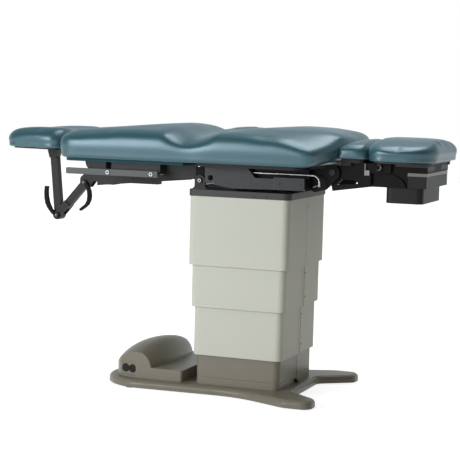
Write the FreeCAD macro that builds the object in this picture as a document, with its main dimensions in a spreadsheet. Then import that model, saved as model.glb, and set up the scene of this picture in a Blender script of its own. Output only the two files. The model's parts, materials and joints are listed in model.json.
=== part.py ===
"""Procedure chair: an upholstered table in sections on a telescoping powered column.

Frame: X towards the foot end, Y across the chair, Z up, origin on the floor under the column axis.
Millimetres throughout.  The near side of the chair is -Y.  Pieces that come in a near and a far
copy are drawn on the near side and mirrored.
"""
import FreeCAD, Part
import os
import Sketcher
from FreeCAD import Placement, Rotation, Vector

# Fits
sheet_fit = 0.3
pin_fit = 0.3
wall_fit = 0.4

# Base plate and floor glides
glide_height = 3
glide_radius = 24
base_thickness = 31
base_head = 592
base_head_half = 150
base_side_start = 492
base_side_half = 274
base_waist_at = 20
base_waist_half = 252
toe_root = 245
toe_foot = 354
toe_half = 350
toe_inner_half = 262
notch_at = 222
notch_half = 165
base_edge_round = 18
base_pocket_depth = 21
base_rim = 34

# Column shrouds
shroud_length = 419
shroud_width = 478
shroud_inset = 10.7
shroud_wall = 3
shroud_corner = 26
upper_bottom = 516
middle_bottom = 348
lower_bottom = 153
shroud_overlap = 30
seam_width = 2
seam_depth = 1.4
skirt_line = 62
rib_length = 34
rib_height = 18

# Guide tubes and lifting ram
tube_outer = 180
tube_wall = 8
inner_tube_wall = 8
fixed_tube_top = 335
middle_tube_bottom = 262
middle_tube_top = 565
inner_tube_bottom = 491
cylinder_radius = 38
cylinder_wall = 5.7
sleeve_wall = 5.7
ram_wall = 8

# Top plate and tilt pivot
plate_bottom = 791
plate_thickness = 26
plate_length = 430
plate_width = 478
plate_corner = 28
plate_skin = 7
plate_rim = 12
tilt_at = 164
tilt_height = 853
lug_half = 22
lug_inner = 226.4
lug_thickness = 11
lug_foot = 34
tilt_pin_radius = 8
tilt_head_radius = 11
tilt_head_thick = 5

# Housing on the base, head end
housing_foot = 229
housing_turn = 424
housing_half = 221
housing_shoulder = 512
shoulder_half = 203
housing_head = 546
housing_head_half = 150
housing_top = 80
dome_ridge = 420
dome_rise = 109
dome_head_run = 142
dome_foot_run = 78
dome_half = 321
dome_floor = 60
outlet_from = 10
outlet_to = 80
outlet_bottom = 42
outlet_top = 97
outlet_recess = 7
outlet_plate_thick = 4
outlet_radius = 17
outlet_spacing = 34
outlet_proud = 2

# Latch on the base skirt
latch_near = 7
latch_half = 11
latch_height = 16
latch_bottom = 36
latch_depth = 14

# Seat frame
member_half = 219
member_thickness = 12
frame_top = 913
frame_bottom = 831
frame_foot = 285
cross_depth = 44
cross_height = 50
cross_wall = 3
head_cross = 118
middle_cross = 60
foot_cross = 215
pivot_ear = 23
back_ear = 10.5
ear_reach = 186
bracket_length = 26
bracket_height = 25
boss_length = 40
boss_height = 60

# Seat side plates
plate_face = 244
side_plate_thick = 6
side_plate_head = 137
side_plate_top = 912
side_plate_notch = 41
notch_slope = 32
side_plate_step = 874
side_plate_foot = 151
side_plate_bottom = 828
side_plate_low_from = 20
side_plate_heel = 846
plate_hole_at = 114
plate_hole_height = 866
plate_hole_radius = 11
cover_from = 154
cover_to = 276
cover_bottom = 832
cover_top = 880
cover_face = 253
cover_back = 237

# Chrome rods under the seat
rod_radius = 4.5
rod_from = 56
rod_height = 893
rod_end = 330
rod_bend = 28
rod_drop = 850
rod_face = 231.5

# Back hinge
back_pivot = 173
back_pivot_height = 912
back_pin_radius = 6
back_lean = 0.795

# Boards
board_thick = 12
seat_board_head = 146
seat_board_foot = 278
back_board_head = 732
back_board_foot = 204
board_half = 318

# Seat cushion
cushion_bottom = 925
cushion_half = 347
seat_flat_to = 298
seat_nose = 437
seat_nose_low = 960
seat_nose_high = 1028
seat_crown = 1071
seat_crown_at = 185
seat_shoulder = 1046
seat_end_arc = 620
seat_edge_level_to = 60
seat_edge_bend_at = 200
seat_edge_bend = 1026
seat_edge_foot = 955
cushion_corner_high = 1037
cushion_round = 24
cushion_edge_round = 9

# Back cushion
back_end = 752
back_end_low = 946
back_end_high = 1008
back_end_top = 1036
back_end_top_at = 705
back_middle_top = 1052
back_middle_at = 505
back_crown = 1070
back_corner = 70
back_edge_head = 1010
back_edge_level_at = 467

# Back frame
panel_outer = 212
panel_thick = 12
panel_bottom = 852
panel_heel = 870
cross_box_foot = 330
cross_box_head = 545
cross_box_bottom = 868
cross_box_half = 250
end_box_foot = 575
end_box_head = 668
end_box_half = 238
end_box_bottom = 868
end_box_arc = 42
tie_half = 60
tie_thick = 20

# Side rails
rail_inner = 284
rail_thickness = 10
rail_height = 25
rail_center = 871
rail_head = 727
rail_foot = 323
rail_pivot = 350
rail_lock = 540
standoff_radius = 11
rail_bolt_radius = 5
rail_bolt_head = 8
rail_bolt_proud = 4
rail_bore_depth = 15

# Headrest support
guide_foot = 288
guide_head = 716
guide_top = 868
guide_low_foot = 840
guide_low_head = 797
guide_inner = 20.4
guide_outer = 29
guide_strap_from = 640
guide_strap_to = 700
head_bar_bottom = 812
head_bar_top = 848
head_bar_half = 20
head_bar_from = 440
head_bar_stop = 745
knuckle_at = 780
knuckle_height = 806
elbow_at = 907
elbow_height = 661
arm_top_at = 933
arm_top_height = 934
fork_radius = 21
fork_gap = 15
fork_cheek = 7
slot_reach = 50
link_half_wide = 14.6
link_half_deep = 16
tongue_radius = 20
knuckle_pin = 6
knuckle_head = 11
pin_head_thick = 4

# Headrest release levers
lever_radius = 5
lever_offset = 31
lever_hub = 12
lever_hub_thick = 10
lever_drop = 96
lever_bow = 26
lever_tip = 44

# Headrest
head_inner = 784
head_outer = 1064
head_inner_half = 246
head_outer_half = 200
head_bottom = 954
head_top = 1036
head_corner = 64
head_board_thick = 6
head_board_inset = 22
head_dish = 14
head_dish_half = 130
bracket_half = 48
bracket_reach = 26
bracket_thick = 8

# Foot hinge
foot_pivot = 370
foot_pivot_height = 906
foot_pin_radius = 8
hinge_inner = 185
hinge_thick = 12
hinge_head = 262
hinge_low_head = 846
hinge_low = 826
hinge_low_from = 300
hinge_low_to = 346
hinge_lobe = 27
hinge_rise = 938

# Foot frame
foot_plate_inner = 172
foot_plate_thick = 12.6
foot_lobe = 23
foot_plate_top = 946
foot_plate_foot = 597
stay_head = 364
stay_low = 834
stay_end_at = 500
stay_end = 854
stay_foot = 520
stay_foot_low = 857
stay_depth = 21
window_head = 385
window_foot = 478
window_top = 880
arm_under = 884
arm_foot_low = 909
torque_radius = 20
foot_cross_head = 500
foot_cross_foot = 515
foot_cross_bottom = 872
foot_cross_top = 918

# Foot housing
bay_head = 515
bay_foot = 736
bay_half = 172
bay_top = 950
bay_wall = 6
bay_bottom = 857
bay_cheek_foot = 659
deck_bottom = 917
deck_thick = 3
half_moon_at = 590
half_moon_half = 68
half_moon_rise = 907
half_moon_low = 859
half_moon_thick = 8

# Pan drawer and tray
drawer_head = 530
drawer_front = 660
drawer_foot = 734
drawer_half = 165.6
drawer_top = 903
drawer_wall = 6
tub_head = 572
tub_foot = 718
tub_near = 165
tub_far = 138
tub_bottom = 797
tub_corner = 26
tub_wall = 5
tray_rim_top = 915.6
tray_gauge = 1.5
tray_clear = 1

# Stirrups
stirrup_center = 110
stirrup_bar_half = 10
stirrup_bar_low = 924
stirrup_bar_high = 934
stirrup_bar_head = 400
slot_half = 52
slot_low = 922
slot_high = 942
slot_fit = 0.5
cup_head = 590
cup_foot = 700
cup_half = 45
cup_thick = 2
cup_rise = 5

# Calf cushion
calf_gap = 3
calf_half = 226
calf_foot = 510
calf_bottom = 961
calf_top = 1030
calf_edge_top = 1014
calf_corner = 34
calf_round = 22

# Foot cushion
foot_cushion_head = 513
foot_cushion_foot = 769
foot_cushion_half = 252
foot_cushion_bottom = 957
foot_cushion_top = 1046
foot_cushion_edge = 1018
foot_corner = 66
foot_end_corner = 104
foot_round = 28
foot_board_head = 530
foot_board_foot = 750
foot_board_half = 232
foot_board_bottom = 950.3
foot_lip_from = 612
foot_lip_to = 742
foot_lip_low = 938
foot_lip_thick = 5

# Extension latches
latch_rod_at = 491
latch_rod_radius = 3
latch_rod_top = 946
latch_block_at = 495
latch_block = 20
latch_block_low = 900
knob_at = 550
knob_height = 932
knob_radius = 12
knob_proud = 14

os.makedirs("parts", exist_ok=True)
doc = FreeCAD.newDocument("procedure_chair")
sheet = doc.addObject("Spreadsheet::Sheet", "Sizes")


class Size:
    """A number together with the expression that gives it from the sheet."""

    def __init__(self, value, text):
        self.value = value
        self.text = text

    def __add__(self, other):
        other = size(other)
        return Size(self.value + other.value, f"({self.text} + {other.text})")

    def __sub__(self, other):
        other = size(other)
        return Size(self.value - other.value, f"({self.text} - {other.text})")

    def __mul__(self, other):
        other = size(other)
        return Size(self.value * other.value, f"({self.text} * {other.text})")

    def __truediv__(self, other):
        other = size(other)
        return Size(self.value / other.value, f"({self.text} / {other.text})")

    def __neg__(self):
        return Size(-self.value, f"(0 - {self.text})")

    def __radd__(self, other):
        return size(other) + self

    def __rsub__(self, other):
        return size(other) - self

    def __rmul__(self, other):
        return size(other) * self

    def root(self):
        return Size(self.value ** 0.5, f"sqrt({self.text})")


def size(number):
    return number if isinstance(number, Size) else Size(float(number), repr(float(number)))


class Sheet:
    """Reads the sheet's cells by alias."""

    def __getattr__(self, alias):
        return Size(float(sheet.get(alias)), f"Sizes.{alias}")


S = Sheet()
sizes = {alias: value for alias, value in globals().items() if type(value) in (int, float)}
for row, (alias, value) in enumerate(sizes.items(), 1):
    sheet.set(f"A{row}", alias)
    sheet.set(f"B{row}", str(value))
    sheet.setAlias(f"B{row}", alias)
doc.recompute()


def bind(thing, prop, value):
    thing.setExpression(prop, size(value).text)


# Shapes that the pieces are made of

PLANES = {"plan": "XY_Plane", "side": "XZ_Plane", "end": "YZ_Plane"}


def draw(sketch, corners):
    """Closes a polygon of (u, v) corners and ties every corner to its expressions."""
    corners = [(size(u), size(v)) for u, v in corners]
    first = sketch.GeometryCount
    count = len(corners)
    for index, (u, v) in enumerate(corners):
        end_u, end_v = corners[(index + 1) % count]
        line = Part.LineSegment(Vector(u.value, v.value, 0), Vector(end_u.value, end_v.value, 0))
        sketch.addGeometry(line, False)
    for index, (u, v) in enumerate(corners):
        line = first + index
        following = first + (index + 1) % count
        sketch.addConstraint(Sketcher.Constraint("Coincident", line, 2, following, 1))
        for kind, place in (("DistanceX", u), ("DistanceY", v)):
            number = sketch.addConstraint(Sketcher.Constraint(kind, -1, 1, line, 1, place.value))
            sketch.setExpression(f"Constraints[{number}]", place.text)


def draw_circle(sketch, u, v, radius):
    u, v, radius = size(u), size(v), size(radius)
    ring = sketch.addGeometry(Part.Circle(Vector(u.value, v.value, 0), Vector(0, 0, 1), radius.value), False)
    number = sketch.addConstraint(Sketcher.Constraint("Radius", ring, radius.value))
    sketch.setExpression(f"Constraints[{number}]", radius.text)
    for kind, place in (("DistanceX", u), ("DistanceY", v)):
        number = sketch.addConstraint(Sketcher.Constraint(kind, -1, 1, ring, 3, place.value))
        sketch.setExpression(f"Constraints[{number}]", place.text)


def new_sketch(body, name, view, start):
    """A sketch on one of the body's own planes, moved to start along that plane's axis."""
    sketch = body.newObject("Sketcher::SketchObject", name)
    planes = {feature.Role: feature for feature in body.Origin.OriginFeatures}
    sketch.AttachmentSupport = [(planes[PLANES[view]], "")]
    sketch.MapMode = "FlatFace"
    # The side view's plane looks along -Y, so its offset counts the other way.
    bind(sketch, ".AttachmentOffset.Base.z", -size(start) if view == "side" else start)
    return sketch


def edge_names(shape, view, corner):
    """The edges along the view's axis that stand on a corner of the outline."""
    u, v = size(corner[0]).value, size(corner[1]).value
    names = []
    for number, edge in enumerate(shape.Edges, 1):
        ends = [vertex.Point for vertex in edge.Vertexes]
        if len(ends) != 2:
            continue
        flat = [{"plan": (p.x, p.y), "side": (p.x, p.z), "end": (p.y, p.z)}[view] for p in ends]
        if all(abs(a - u) < 0.01 and abs(b - v) < 0.01 for a, b in flat):
            names.append(f"Edge{number}")
    return names


def round_edges(body, name, names, radius):
    before = body.Tip
    fillet = body.newObject("PartDesign::Fillet", name)
    fillet.Base = (before, names)
    bind(fillet, "Radius", radius)
    body.Tip = fillet
    doc.recompute()
    return fillet


def prism(name, view, corners, start, end, rounds=(), windows=(), bores=()):
    """A body padded from an outline, between two places along the view's axis.

    rounds holds (corners, radius) pairs, windows more outlines and bores (u, v, radius) holes.
    """
    start, end = size(start), size(end)
    low, high = (start, end) if start.value < end.value else (end, start)
    body = doc.addObject("PartDesign::Body", name)
    sketch = new_sketch(body, f"{name}_outline", view, high if view == "side" else low)
    draw(sketch, corners)
    for window in windows:
        draw(sketch, window)
    for u, v, radius in bores:
        draw_circle(sketch, u, v, radius)
    pad = body.newObject("PartDesign::Pad", f"{name}_pad")
    pad.Profile = sketch
    bind(pad, "Length", high - low)
    doc.recompute()
    for turn, (places, radius) in enumerate(rounds):
        names = [edge for place in places for edge in edge_names(body.Tip.Shape, view, place)]
        round_edges(body, f"{name}_round{turn}", names, radius)
    return body


def box(name, head, foot, near, far, bottom, top):
    block = doc.addObject("Part::Box", name)
    bind(block, "Length", size(foot) - head)
    bind(block, "Width", size(far) - near)
    bind(block, "Height", size(top) - bottom)
    bind(block, ".Placement.Base.x", head)
    bind(block, ".Placement.Base.y", near)
    bind(block, ".Placement.Base.z", bottom)
    return block


TURNS = {
    "z": Rotation(),
    "y": Rotation(Vector(1, 0, 0), -90),
    "x": Rotation(Vector(0, 1, 0), 90),
}


def rod(name, axis, x, y, z, radius, length):
    """A cylinder that starts at x, y, z and runs along +axis."""
    bar = doc.addObject("Part::Cylinder", name)
    bar.Placement = Placement(Vector(0, 0, 0), TURNS[axis])
    bind(bar, "Radius", radius)
    bind(bar, "Height", length)
    bind(bar, ".Placement.Base.x", x)
    bind(bar, ".Placement.Base.y", y)
    bind(bar, ".Placement.Base.z", z)
    return bar


def cut(name, base, *tools):
    tool = tools[0] if len(tools) == 1 else fuse(f"{name}_tool", *tools)
    result = doc.addObject("Part::Cut", name)
    result.Base = base
    result.Tool = tool
    return result


def fuse(name, *pieces):
    result = doc.addObject("Part::MultiFuse", name)
    result.Shapes = list(pieces)
    result.Refine = True
    return result


def common(name, *pieces):
    result = doc.addObject("Part::MultiCommon", name)
    result.Shapes = list(pieces)
    return result


def mirrored(name, near):
    far = doc.addObject("Part::Mirroring", name)
    far.Source = near
    far.Normal = Vector(0, 1, 0)
    return far


def group(name, *pieces):
    result = doc.addObject("Part::Compound", name)
    result.Links = list(pieces)
    return result


def pair(name, near):
    return group(name, near, mirrored(f"{name}_far", near))


def bar_corners(start, end, half):
    """Corners of a straight bar between two (x, z) points, half wide to each side."""
    run_x = size(end[0]) - start[0]
    run_z = size(end[1]) - start[1]
    length = (run_x * run_x + run_z * run_z).root()
    off_x = run_z / length * half
    off_z = run_x / length * half
    return [
        (start[0] - off_x, start[1] + off_z),
        (end[0] - off_x, end[1] + off_z),
        (end[0] + off_x, end[1] - off_z),
        (start[0] + off_x, start[1] - off_z),
    ]


def along(start, end, distance):
    """The (x, z) point at a distance from start towards end."""
    run_x = size(end[0]) - start[0]
    run_z = size(end[1]) - start[1]
    length = (run_x * run_x + run_z * run_z).root()
    return (start[0] + run_x / length * distance, start[1] + run_z / length * distance)


def rect(left, right, bottom, top):
    return [(left, bottom), (right, bottom), (right, top), (left, top)]


def symmetric(half_outline):
    """Mirrors the near half of a plan outline, which runs from head to foot, to the far side."""
    return half_outline + [(x, -size(y)) for x, y in reversed(half_outline)]


nodes = {}


def node(name, piece):
    piece.Label = name
    nodes[name] = piece


# Base plate, its glides and the latch on the skirt

floor_top = S.glide_height + S.base_thickness


def make_base_plate():
    near = [
        (-S.base_head, -S.base_head_half),
        (-S.base_side_start, -S.base_side_half),
        (S.base_waist_at, -S.base_waist_half),
        (S.toe_root, -S.toe_half),
        (S.toe_foot, -S.toe_half),
        (S.toe_foot, -S.toe_inner_half),
        (S.notch_at, -S.notch_half),
    ]
    far = [(x, -y) for x, y in near]
    rounds = [
        ([near[0], far[0]], 150),
        ([near[1], far[1]], 190),
        ([near[2], far[2]], 420),
        ([near[3], far[3]], 60),
        ([near[4], far[4], near[5], far[5]], 40),
        ([near[6], far[6]], 46),
    ]
    plate = prism("base_slab", "plan", symmetric(near), S.glide_height, floor_top, rounds)
    top = [
        f"Edge{number}"
        for number, edge in enumerate(plate.Tip.Shape.Edges, 1)
        if all(abs(vertex.Point.z - floor_top.value) < 0.01 for vertex in edge.Vertexes)
    ]
    round_edges(plate, "base_slab_edge", top, S.base_edge_round)
    low = S.glide_height
    high = low + S.base_pocket_depth
    side = S.base_waist_half - S.base_rim
    rim = S.base_rim
    pockets = [
        box("pocket_head", -S.base_head + rim * 2, -S.tube_outer / 2 - rim, -side, side, low, high),
        box("pocket_near", -S.tube_outer / 2, S.tube_outer / 2, -side, -S.tube_outer / 2 - rim, low, high),
        box("pocket_far", -S.tube_outer / 2, S.tube_outer / 2, S.tube_outer / 2 + rim, side, low, high),
        box("pocket_foot", S.tube_outer / 2 + rim, S.notch_at - rim, -side, side, low, high),
    ]
    node("base_plate", cut("base_plate", plate, *pockets))


def make_glides():
    head = -S.base_side_start + 50
    places = [
        (size(0), size(0)),
        (head, -S.base_side_half + S.base_rim),
        (head, S.base_side_half - S.base_rim),
        (S.toe_foot - S.base_rim - 4, -S.toe_half + S.base_rim + 8),
        (S.toe_foot - S.base_rim - 4, S.toe_half - S.base_rim - 8),
    ]
    discs = [
        rod(f"glide{number}", "z", x, y, 0, S.glide_radius, S.glide_height)
        for number, (x, y) in enumerate(places)
    ]
    node("base_glides", group("base_glides", *discs))


def make_latch():
    face = (S.shroud_length - S.shroud_inset * 6) / 2
    block = prism(
        "skirt_latch",
        "side",
        [
            (face, S.latch_bottom),
            (face + S.latch_depth, S.latch_bottom),
            (face + S.latch_depth, S.latch_bottom + S.latch_height * 0.6),
            (face, S.latch_bottom + S.latch_height),
        ],
        S.latch_near - S.latch_half,
        S.latch_near + S.latch_half,
    )
    node("skirt_latch", block)


# Shrouds: rounded rectangular sleeves, each with a seam down its foot-end face

def ring(name, inset, bottom, top):
    """One sleeve, inset from the largest by so much per side."""
    half_x = S.shroud_length / 2 - inset
    half_y = S.shroud_width / 2 - inset
    outer = rect(-half_x, half_x, -half_y, half_y)
    inner_x = half_x - S.shroud_wall
    inner_y = half_y - S.shroud_wall
    inner = rect(-inner_x, inner_x, -inner_y, inner_y)
    rounds = [(outer, S.shroud_corner), (inner, S.shroud_corner - S.shroud_wall)]
    sleeve = prism(f"{name}_sleeve", "plan", outer, bottom, top, rounds, [inner])
    seam_half = S.seam_width / 2
    seam = box(f"{name}_seam", half_x - S.seam_depth, half_x + 1, -seam_half, seam_half, bottom, top)
    return sleeve, seam, half_x, half_y


def ribs(name, half_x, half_y, top):
    """Moulded ribs at a sleeve's upper edge that bear on the next sleeve's inside."""
    reach = S.shroud_inset - S.shroud_wall - S.wall_fit
    low = top - S.rib_height
    half = S.rib_length / 2
    place = half_x - S.shroud_corner - S.rib_length
    pieces = []
    for side, label in ((-1, "near"), (1, "far")):
        edge = half_y * side
        inner, outer = (edge - reach, edge + 1) if side < 0 else (edge - 1, edge + reach)
        pieces.append(box(f"{name}_rib_{label}_a", -place - half, -place + half, inner, outer, low, top))
        pieces.append(box(f"{name}_rib_{label}_b", place - half, place + half, inner, outer, low, top))
    for side, label in ((-1, "head"), (1, "foot")):
        edge = half_x * side
        inner, outer = (edge - reach, edge + 1) if side < 0 else (edge - 1, edge + reach)
        offset = half_y - S.shroud_corner - S.rib_length
        pieces.append(box(f"{name}_rib_{label}_a", inner, outer, -offset - half, -offset + half, low, top))
        pieces.append(box(f"{name}_rib_{label}_b", inner, outer, offset - half, offset + half, low, top))
    return pieces


def make_shrouds():
    step = S.shroud_inset
    lap = S.shroud_overlap
    sleeve, seam, _, _ = ring("upper_shroud", 0, S.upper_bottom, S.plate_bottom)
    node("upper_shroud", cut("upper_shroud", sleeve, seam))
    stages = (
        ("middle_shroud", step, S.middle_bottom, S.upper_bottom + lap),
        ("lower_shroud", step * 2, S.lower_bottom, S.middle_bottom + lap),
    )
    for name, inset, bottom, top in stages:
        sleeve, seam, half_x, half_y = ring(name, inset, bottom, top)
        walled = fuse(f"{name}_ribbed", sleeve, *ribs(name, half_x, half_y, top))
        node(name, cut(name, walled, seam))
    top = S.lower_bottom + lap
    sleeve, seam, half_x, half_y = ring("base_shroud", step * 3, floor_top, top)
    groove = prism(
        "skirt_groove",
        "plan",
        rect(-half_x - 1, half_x + 1, -half_y - 1, half_y + 1),
        S.skirt_line,
        S.skirt_line + S.seam_width,
        windows=[rect(
            -half_x + S.seam_depth,
            half_x - S.seam_depth,
            -half_y + S.seam_depth,
            half_y - S.seam_depth,
        )],
    )
    walled = fuse("base_shroud_ribbed", sleeve, *ribs("base_shroud", half_x, half_y, top))
    node("base_shroud", cut("base_shroud", walled, seam, groove))


# Inside the column: three square guide tubes and a three-stage ram

def square_tube(name, half, wall, bottom, top):
    outer = rect(-half, half, -half, half)
    inner_half = half - wall
    inner = rect(-inner_half, inner_half, -inner_half, inner_half)
    return prism(name, "plan", outer, bottom, top, windows=[inner])


def round_tube(name, radius, wall, bottom, top):
    outer = rod(f"{name}_outer", "z", 0, 0, bottom, radius, size(top) - bottom)
    bore = rod(f"{name}_bore", "z", 0, 0, bottom, radius - wall, size(top) - bottom)
    return cut(name, outer, bore)


def make_column():
    plate_inside = S.plate_bottom + S.plate_thickness - S.plate_skin
    half = S.tube_outer / 2
    node("guide_tube_outer", square_tube("guide_tube_outer", half, S.tube_wall, floor_top, S.fixed_tube_top))
    half = half - S.tube_wall - S.sheet_fit
    middle = square_tube("guide_tube_middle", half, S.tube_wall, S.middle_tube_bottom, S.middle_tube_top)
    node("guide_tube_middle", middle)
    half = half - S.tube_wall - S.sheet_fit
    inner = square_tube("guide_tube_inner", half, S.inner_tube_wall, S.inner_tube_bottom, plate_inside)
    node("guide_tube_inner", inner)
    radius = S.cylinder_radius
    node("lift_cylinder", round_tube("lift_cylinder", radius, S.cylinder_wall, floor_top, S.fixed_tube_top))
    radius = radius - S.cylinder_wall - S.pin_fit
    sleeve = round_tube("lift_sleeve", radius, S.sleeve_wall, S.middle_tube_bottom, S.middle_tube_top)
    node("lift_sleeve", sleeve)
    radius = radius - S.sleeve_wall - S.pin_fit
    node("lift_ram", round_tube("lift_ram", radius, S.ram_wall, S.inner_tube_bottom, plate_inside))


# Top plate with the two lugs and bolts of the tilt pivot

def make_top_plate():
    half_x = S.plate_length / 2
    half_y = S.plate_width / 2
    outline = rect(-half_x, half_x, -half_y, half_y)
    top = S.plate_bottom + S.plate_thickness
    slab = prism("plate_slab", "plan", outline, S.plate_bottom, top, [(outline, S.plate_corner)])
    inner_x = half_x - S.plate_rim
    inner_y = half_y - S.plate_rim
    hollow_outline = rect(-inner_x, inner_x, -inner_y, inner_y)
    rounds = [(hollow_outline, S.plate_corner - S.plate_rim)]
    hollow = prism("plate_hollow", "plan", hollow_outline, S.plate_bottom, top - S.plate_skin, rounds)
    node("top_plate", cut("top_plate", slab, hollow))

    lug_outline = [
        (-S.tilt_at - S.lug_foot, top),
        (-S.tilt_at + S.lug_foot, top),
        (-S.tilt_at + S.lug_half, top + S.lug_foot - S.lug_half),
        (-S.tilt_at + S.lug_half, S.tilt_height + S.lug_half),
        (-S.tilt_at - S.lug_half, S.tilt_height + S.lug_half),
        (-S.tilt_at - S.lug_half, top + S.lug_foot - S.lug_half),
    ]
    lug = prism(
        "tilt_lug",
        "side",
        lug_outline,
        -S.lug_inner - S.lug_thickness,
        -S.lug_inner,
        [(lug_outline[3:5], S.lug_half * 0.98)],
        bores=[(-S.tilt_at, S.tilt_height, S.tilt_pin_radius)],
    )
    node("tilt_lugs", pair("tilt_lugs", lug))

    outer = S.lug_inner + S.lug_thickness
    inner = S.member_half - S.member_thickness / 2 - S.tilt_head_thick
    shank = rod("tilt_shank", "y", -S.tilt_at, -outer, S.tilt_height, S.tilt_pin_radius, outer - inner)
    head = rod(
        "tilt_head", "y", -S.tilt_at, -outer - S.tilt_head_thick, S.tilt_height,
        S.tilt_head_radius, S.tilt_head_thick,
    )
    node("tilt_bolts", pair("tilt_bolts", fuse("tilt_bolt", shank, head)))


# Housing on the base: low block, turtle-back dome and the two outlets in its slanted side

def housing_outline():
    near = [
        (-S.housing_head, -S.housing_head_half),
        (-S.housing_shoulder, -S.shoulder_half),
        (-S.housing_turn, -S.housing_half),
        (-S.housing_foot, -S.housing_half),
    ]
    return near, [(x, -y) for x, y in near]


def half_egg(run, towards_head):
    """Half an ellipsoid on its ridge plane, run long and as high and wide as the dome."""
    matrix = FreeCAD.Matrix()
    matrix.scale(run.value, S.dome_half.value, S.dome_rise.value)
    ball = Part.makeSphere(1.0).transformGeometry(matrix)
    reach = run.value + 1
    keep = Part.makeBox(reach, 2 * S.dome_half.value, S.dome_rise.value + 1)
    keep.translate(Vector(-reach if towards_head else 0, -S.dome_half.value, 0))
    return ball.common(keep)


def egg(name):
    """A long half ellipsoid towards the head end and a short one towards the column, as one solid."""
    skin = []
    for half in (half_egg(S.dome_head_run, True), half_egg(S.dome_foot_run, False)):
        skin += [face for face in half.Faces if abs(face.CenterOfMass.x) > 0.001]
    shell = Part.Shell(skin)
    shell.sewShape()
    feature = doc.addObject("Part::Feature", name)
    feature.Shape = Part.Solid(shell)
    feature.Placement = Placement(Vector(-S.dome_ridge.value, 0, S.dome_floor.value), Rotation())
    return feature


def slanted_place(distance, inwards):
    """A point on the housing's slanted near side, inwards from it, by distance from its turn."""
    run_x = S.housing_turn - S.housing_shoulder
    run_y = S.housing_half - S.shoulder_half
    length = (run_x * run_x + run_y * run_y).root()
    x = -S.housing_turn + run_x / length * distance + run_y / length * inwards
    y = -S.housing_half + run_y / length * distance - run_x / length * inwards
    return x, y


def slanted_block(name, first, last, inwards, outwards, bottom, top):
    corners = [
        slanted_place(first, -size(outwards)),
        slanted_place(first, inwards),
        slanted_place(last, inwards),
        slanted_place(last, -size(outwards)),
    ]
    return prism(name, "plan", corners, bottom, top)


def make_housing():
    near, far = housing_outline()
    outline = near + far[::-1]
    rounds = [([near[0], far[0]], 60), ([near[1], far[1]], 60), ([near[2], far[2]], 40), ([near[3], far[3]], 10)]
    block = prism("housing_block", "plan", outline, floor_top, S.housing_top, rounds)
    limits = prism("housing_limits", "plan", outline, floor_top, S.dome_floor + S.dome_rise + 5, rounds)
    dome = common("housing_dome", egg("dome_egg"), limits)
    solid = fuse("housing_solid", block, dome)
    recess = slanted_block(
        "outlet_recess_cut", S.outlet_from, S.outlet_to, S.outlet_recess, 6, S.outlet_bottom, S.outlet_top,
    )
    node("base_housing", cut("base_housing", solid, recess))

    inset = 0.5
    plate = slanted_block(
        "outlet_plate", S.outlet_from + inset, S.outlet_to - inset,
        S.outlet_recess, S.outlet_plate_thick - S.outlet_recess, S.outlet_bottom + inset, S.outlet_top - inset,
    )
    node("outlet_plate", plate)
    middle = (S.outlet_from + S.outlet_to) / 2
    height = (S.outlet_bottom + S.outlet_top) / 2
    faces = []
    for side in (-0.5, 0.5):
        inwards = S.outlet_recess - S.outlet_plate_thick
        x, y = slanted_place(middle + S.outlet_spacing * side, inwards)
        out_x, out_y = slanted_place(middle + S.outlet_spacing * side, inwards - S.outlet_proud)
        disc = Part.makeCylinder(
            S.outlet_radius.value,
            S.outlet_proud.value,
            Vector(x.value, y.value, height.value),
            Vector(out_x.value - x.value, out_y.value - y.value, 0),
        )
        faces.append(disc)
    feature = doc.addObject("Part::Feature", "power_outlets")
    feature.Shape = Part.makeCompound(faces)
    node("power_outlets", feature)


# Seat frame: two long members with the tilt and back pivots, cross boxes and brackets

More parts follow.
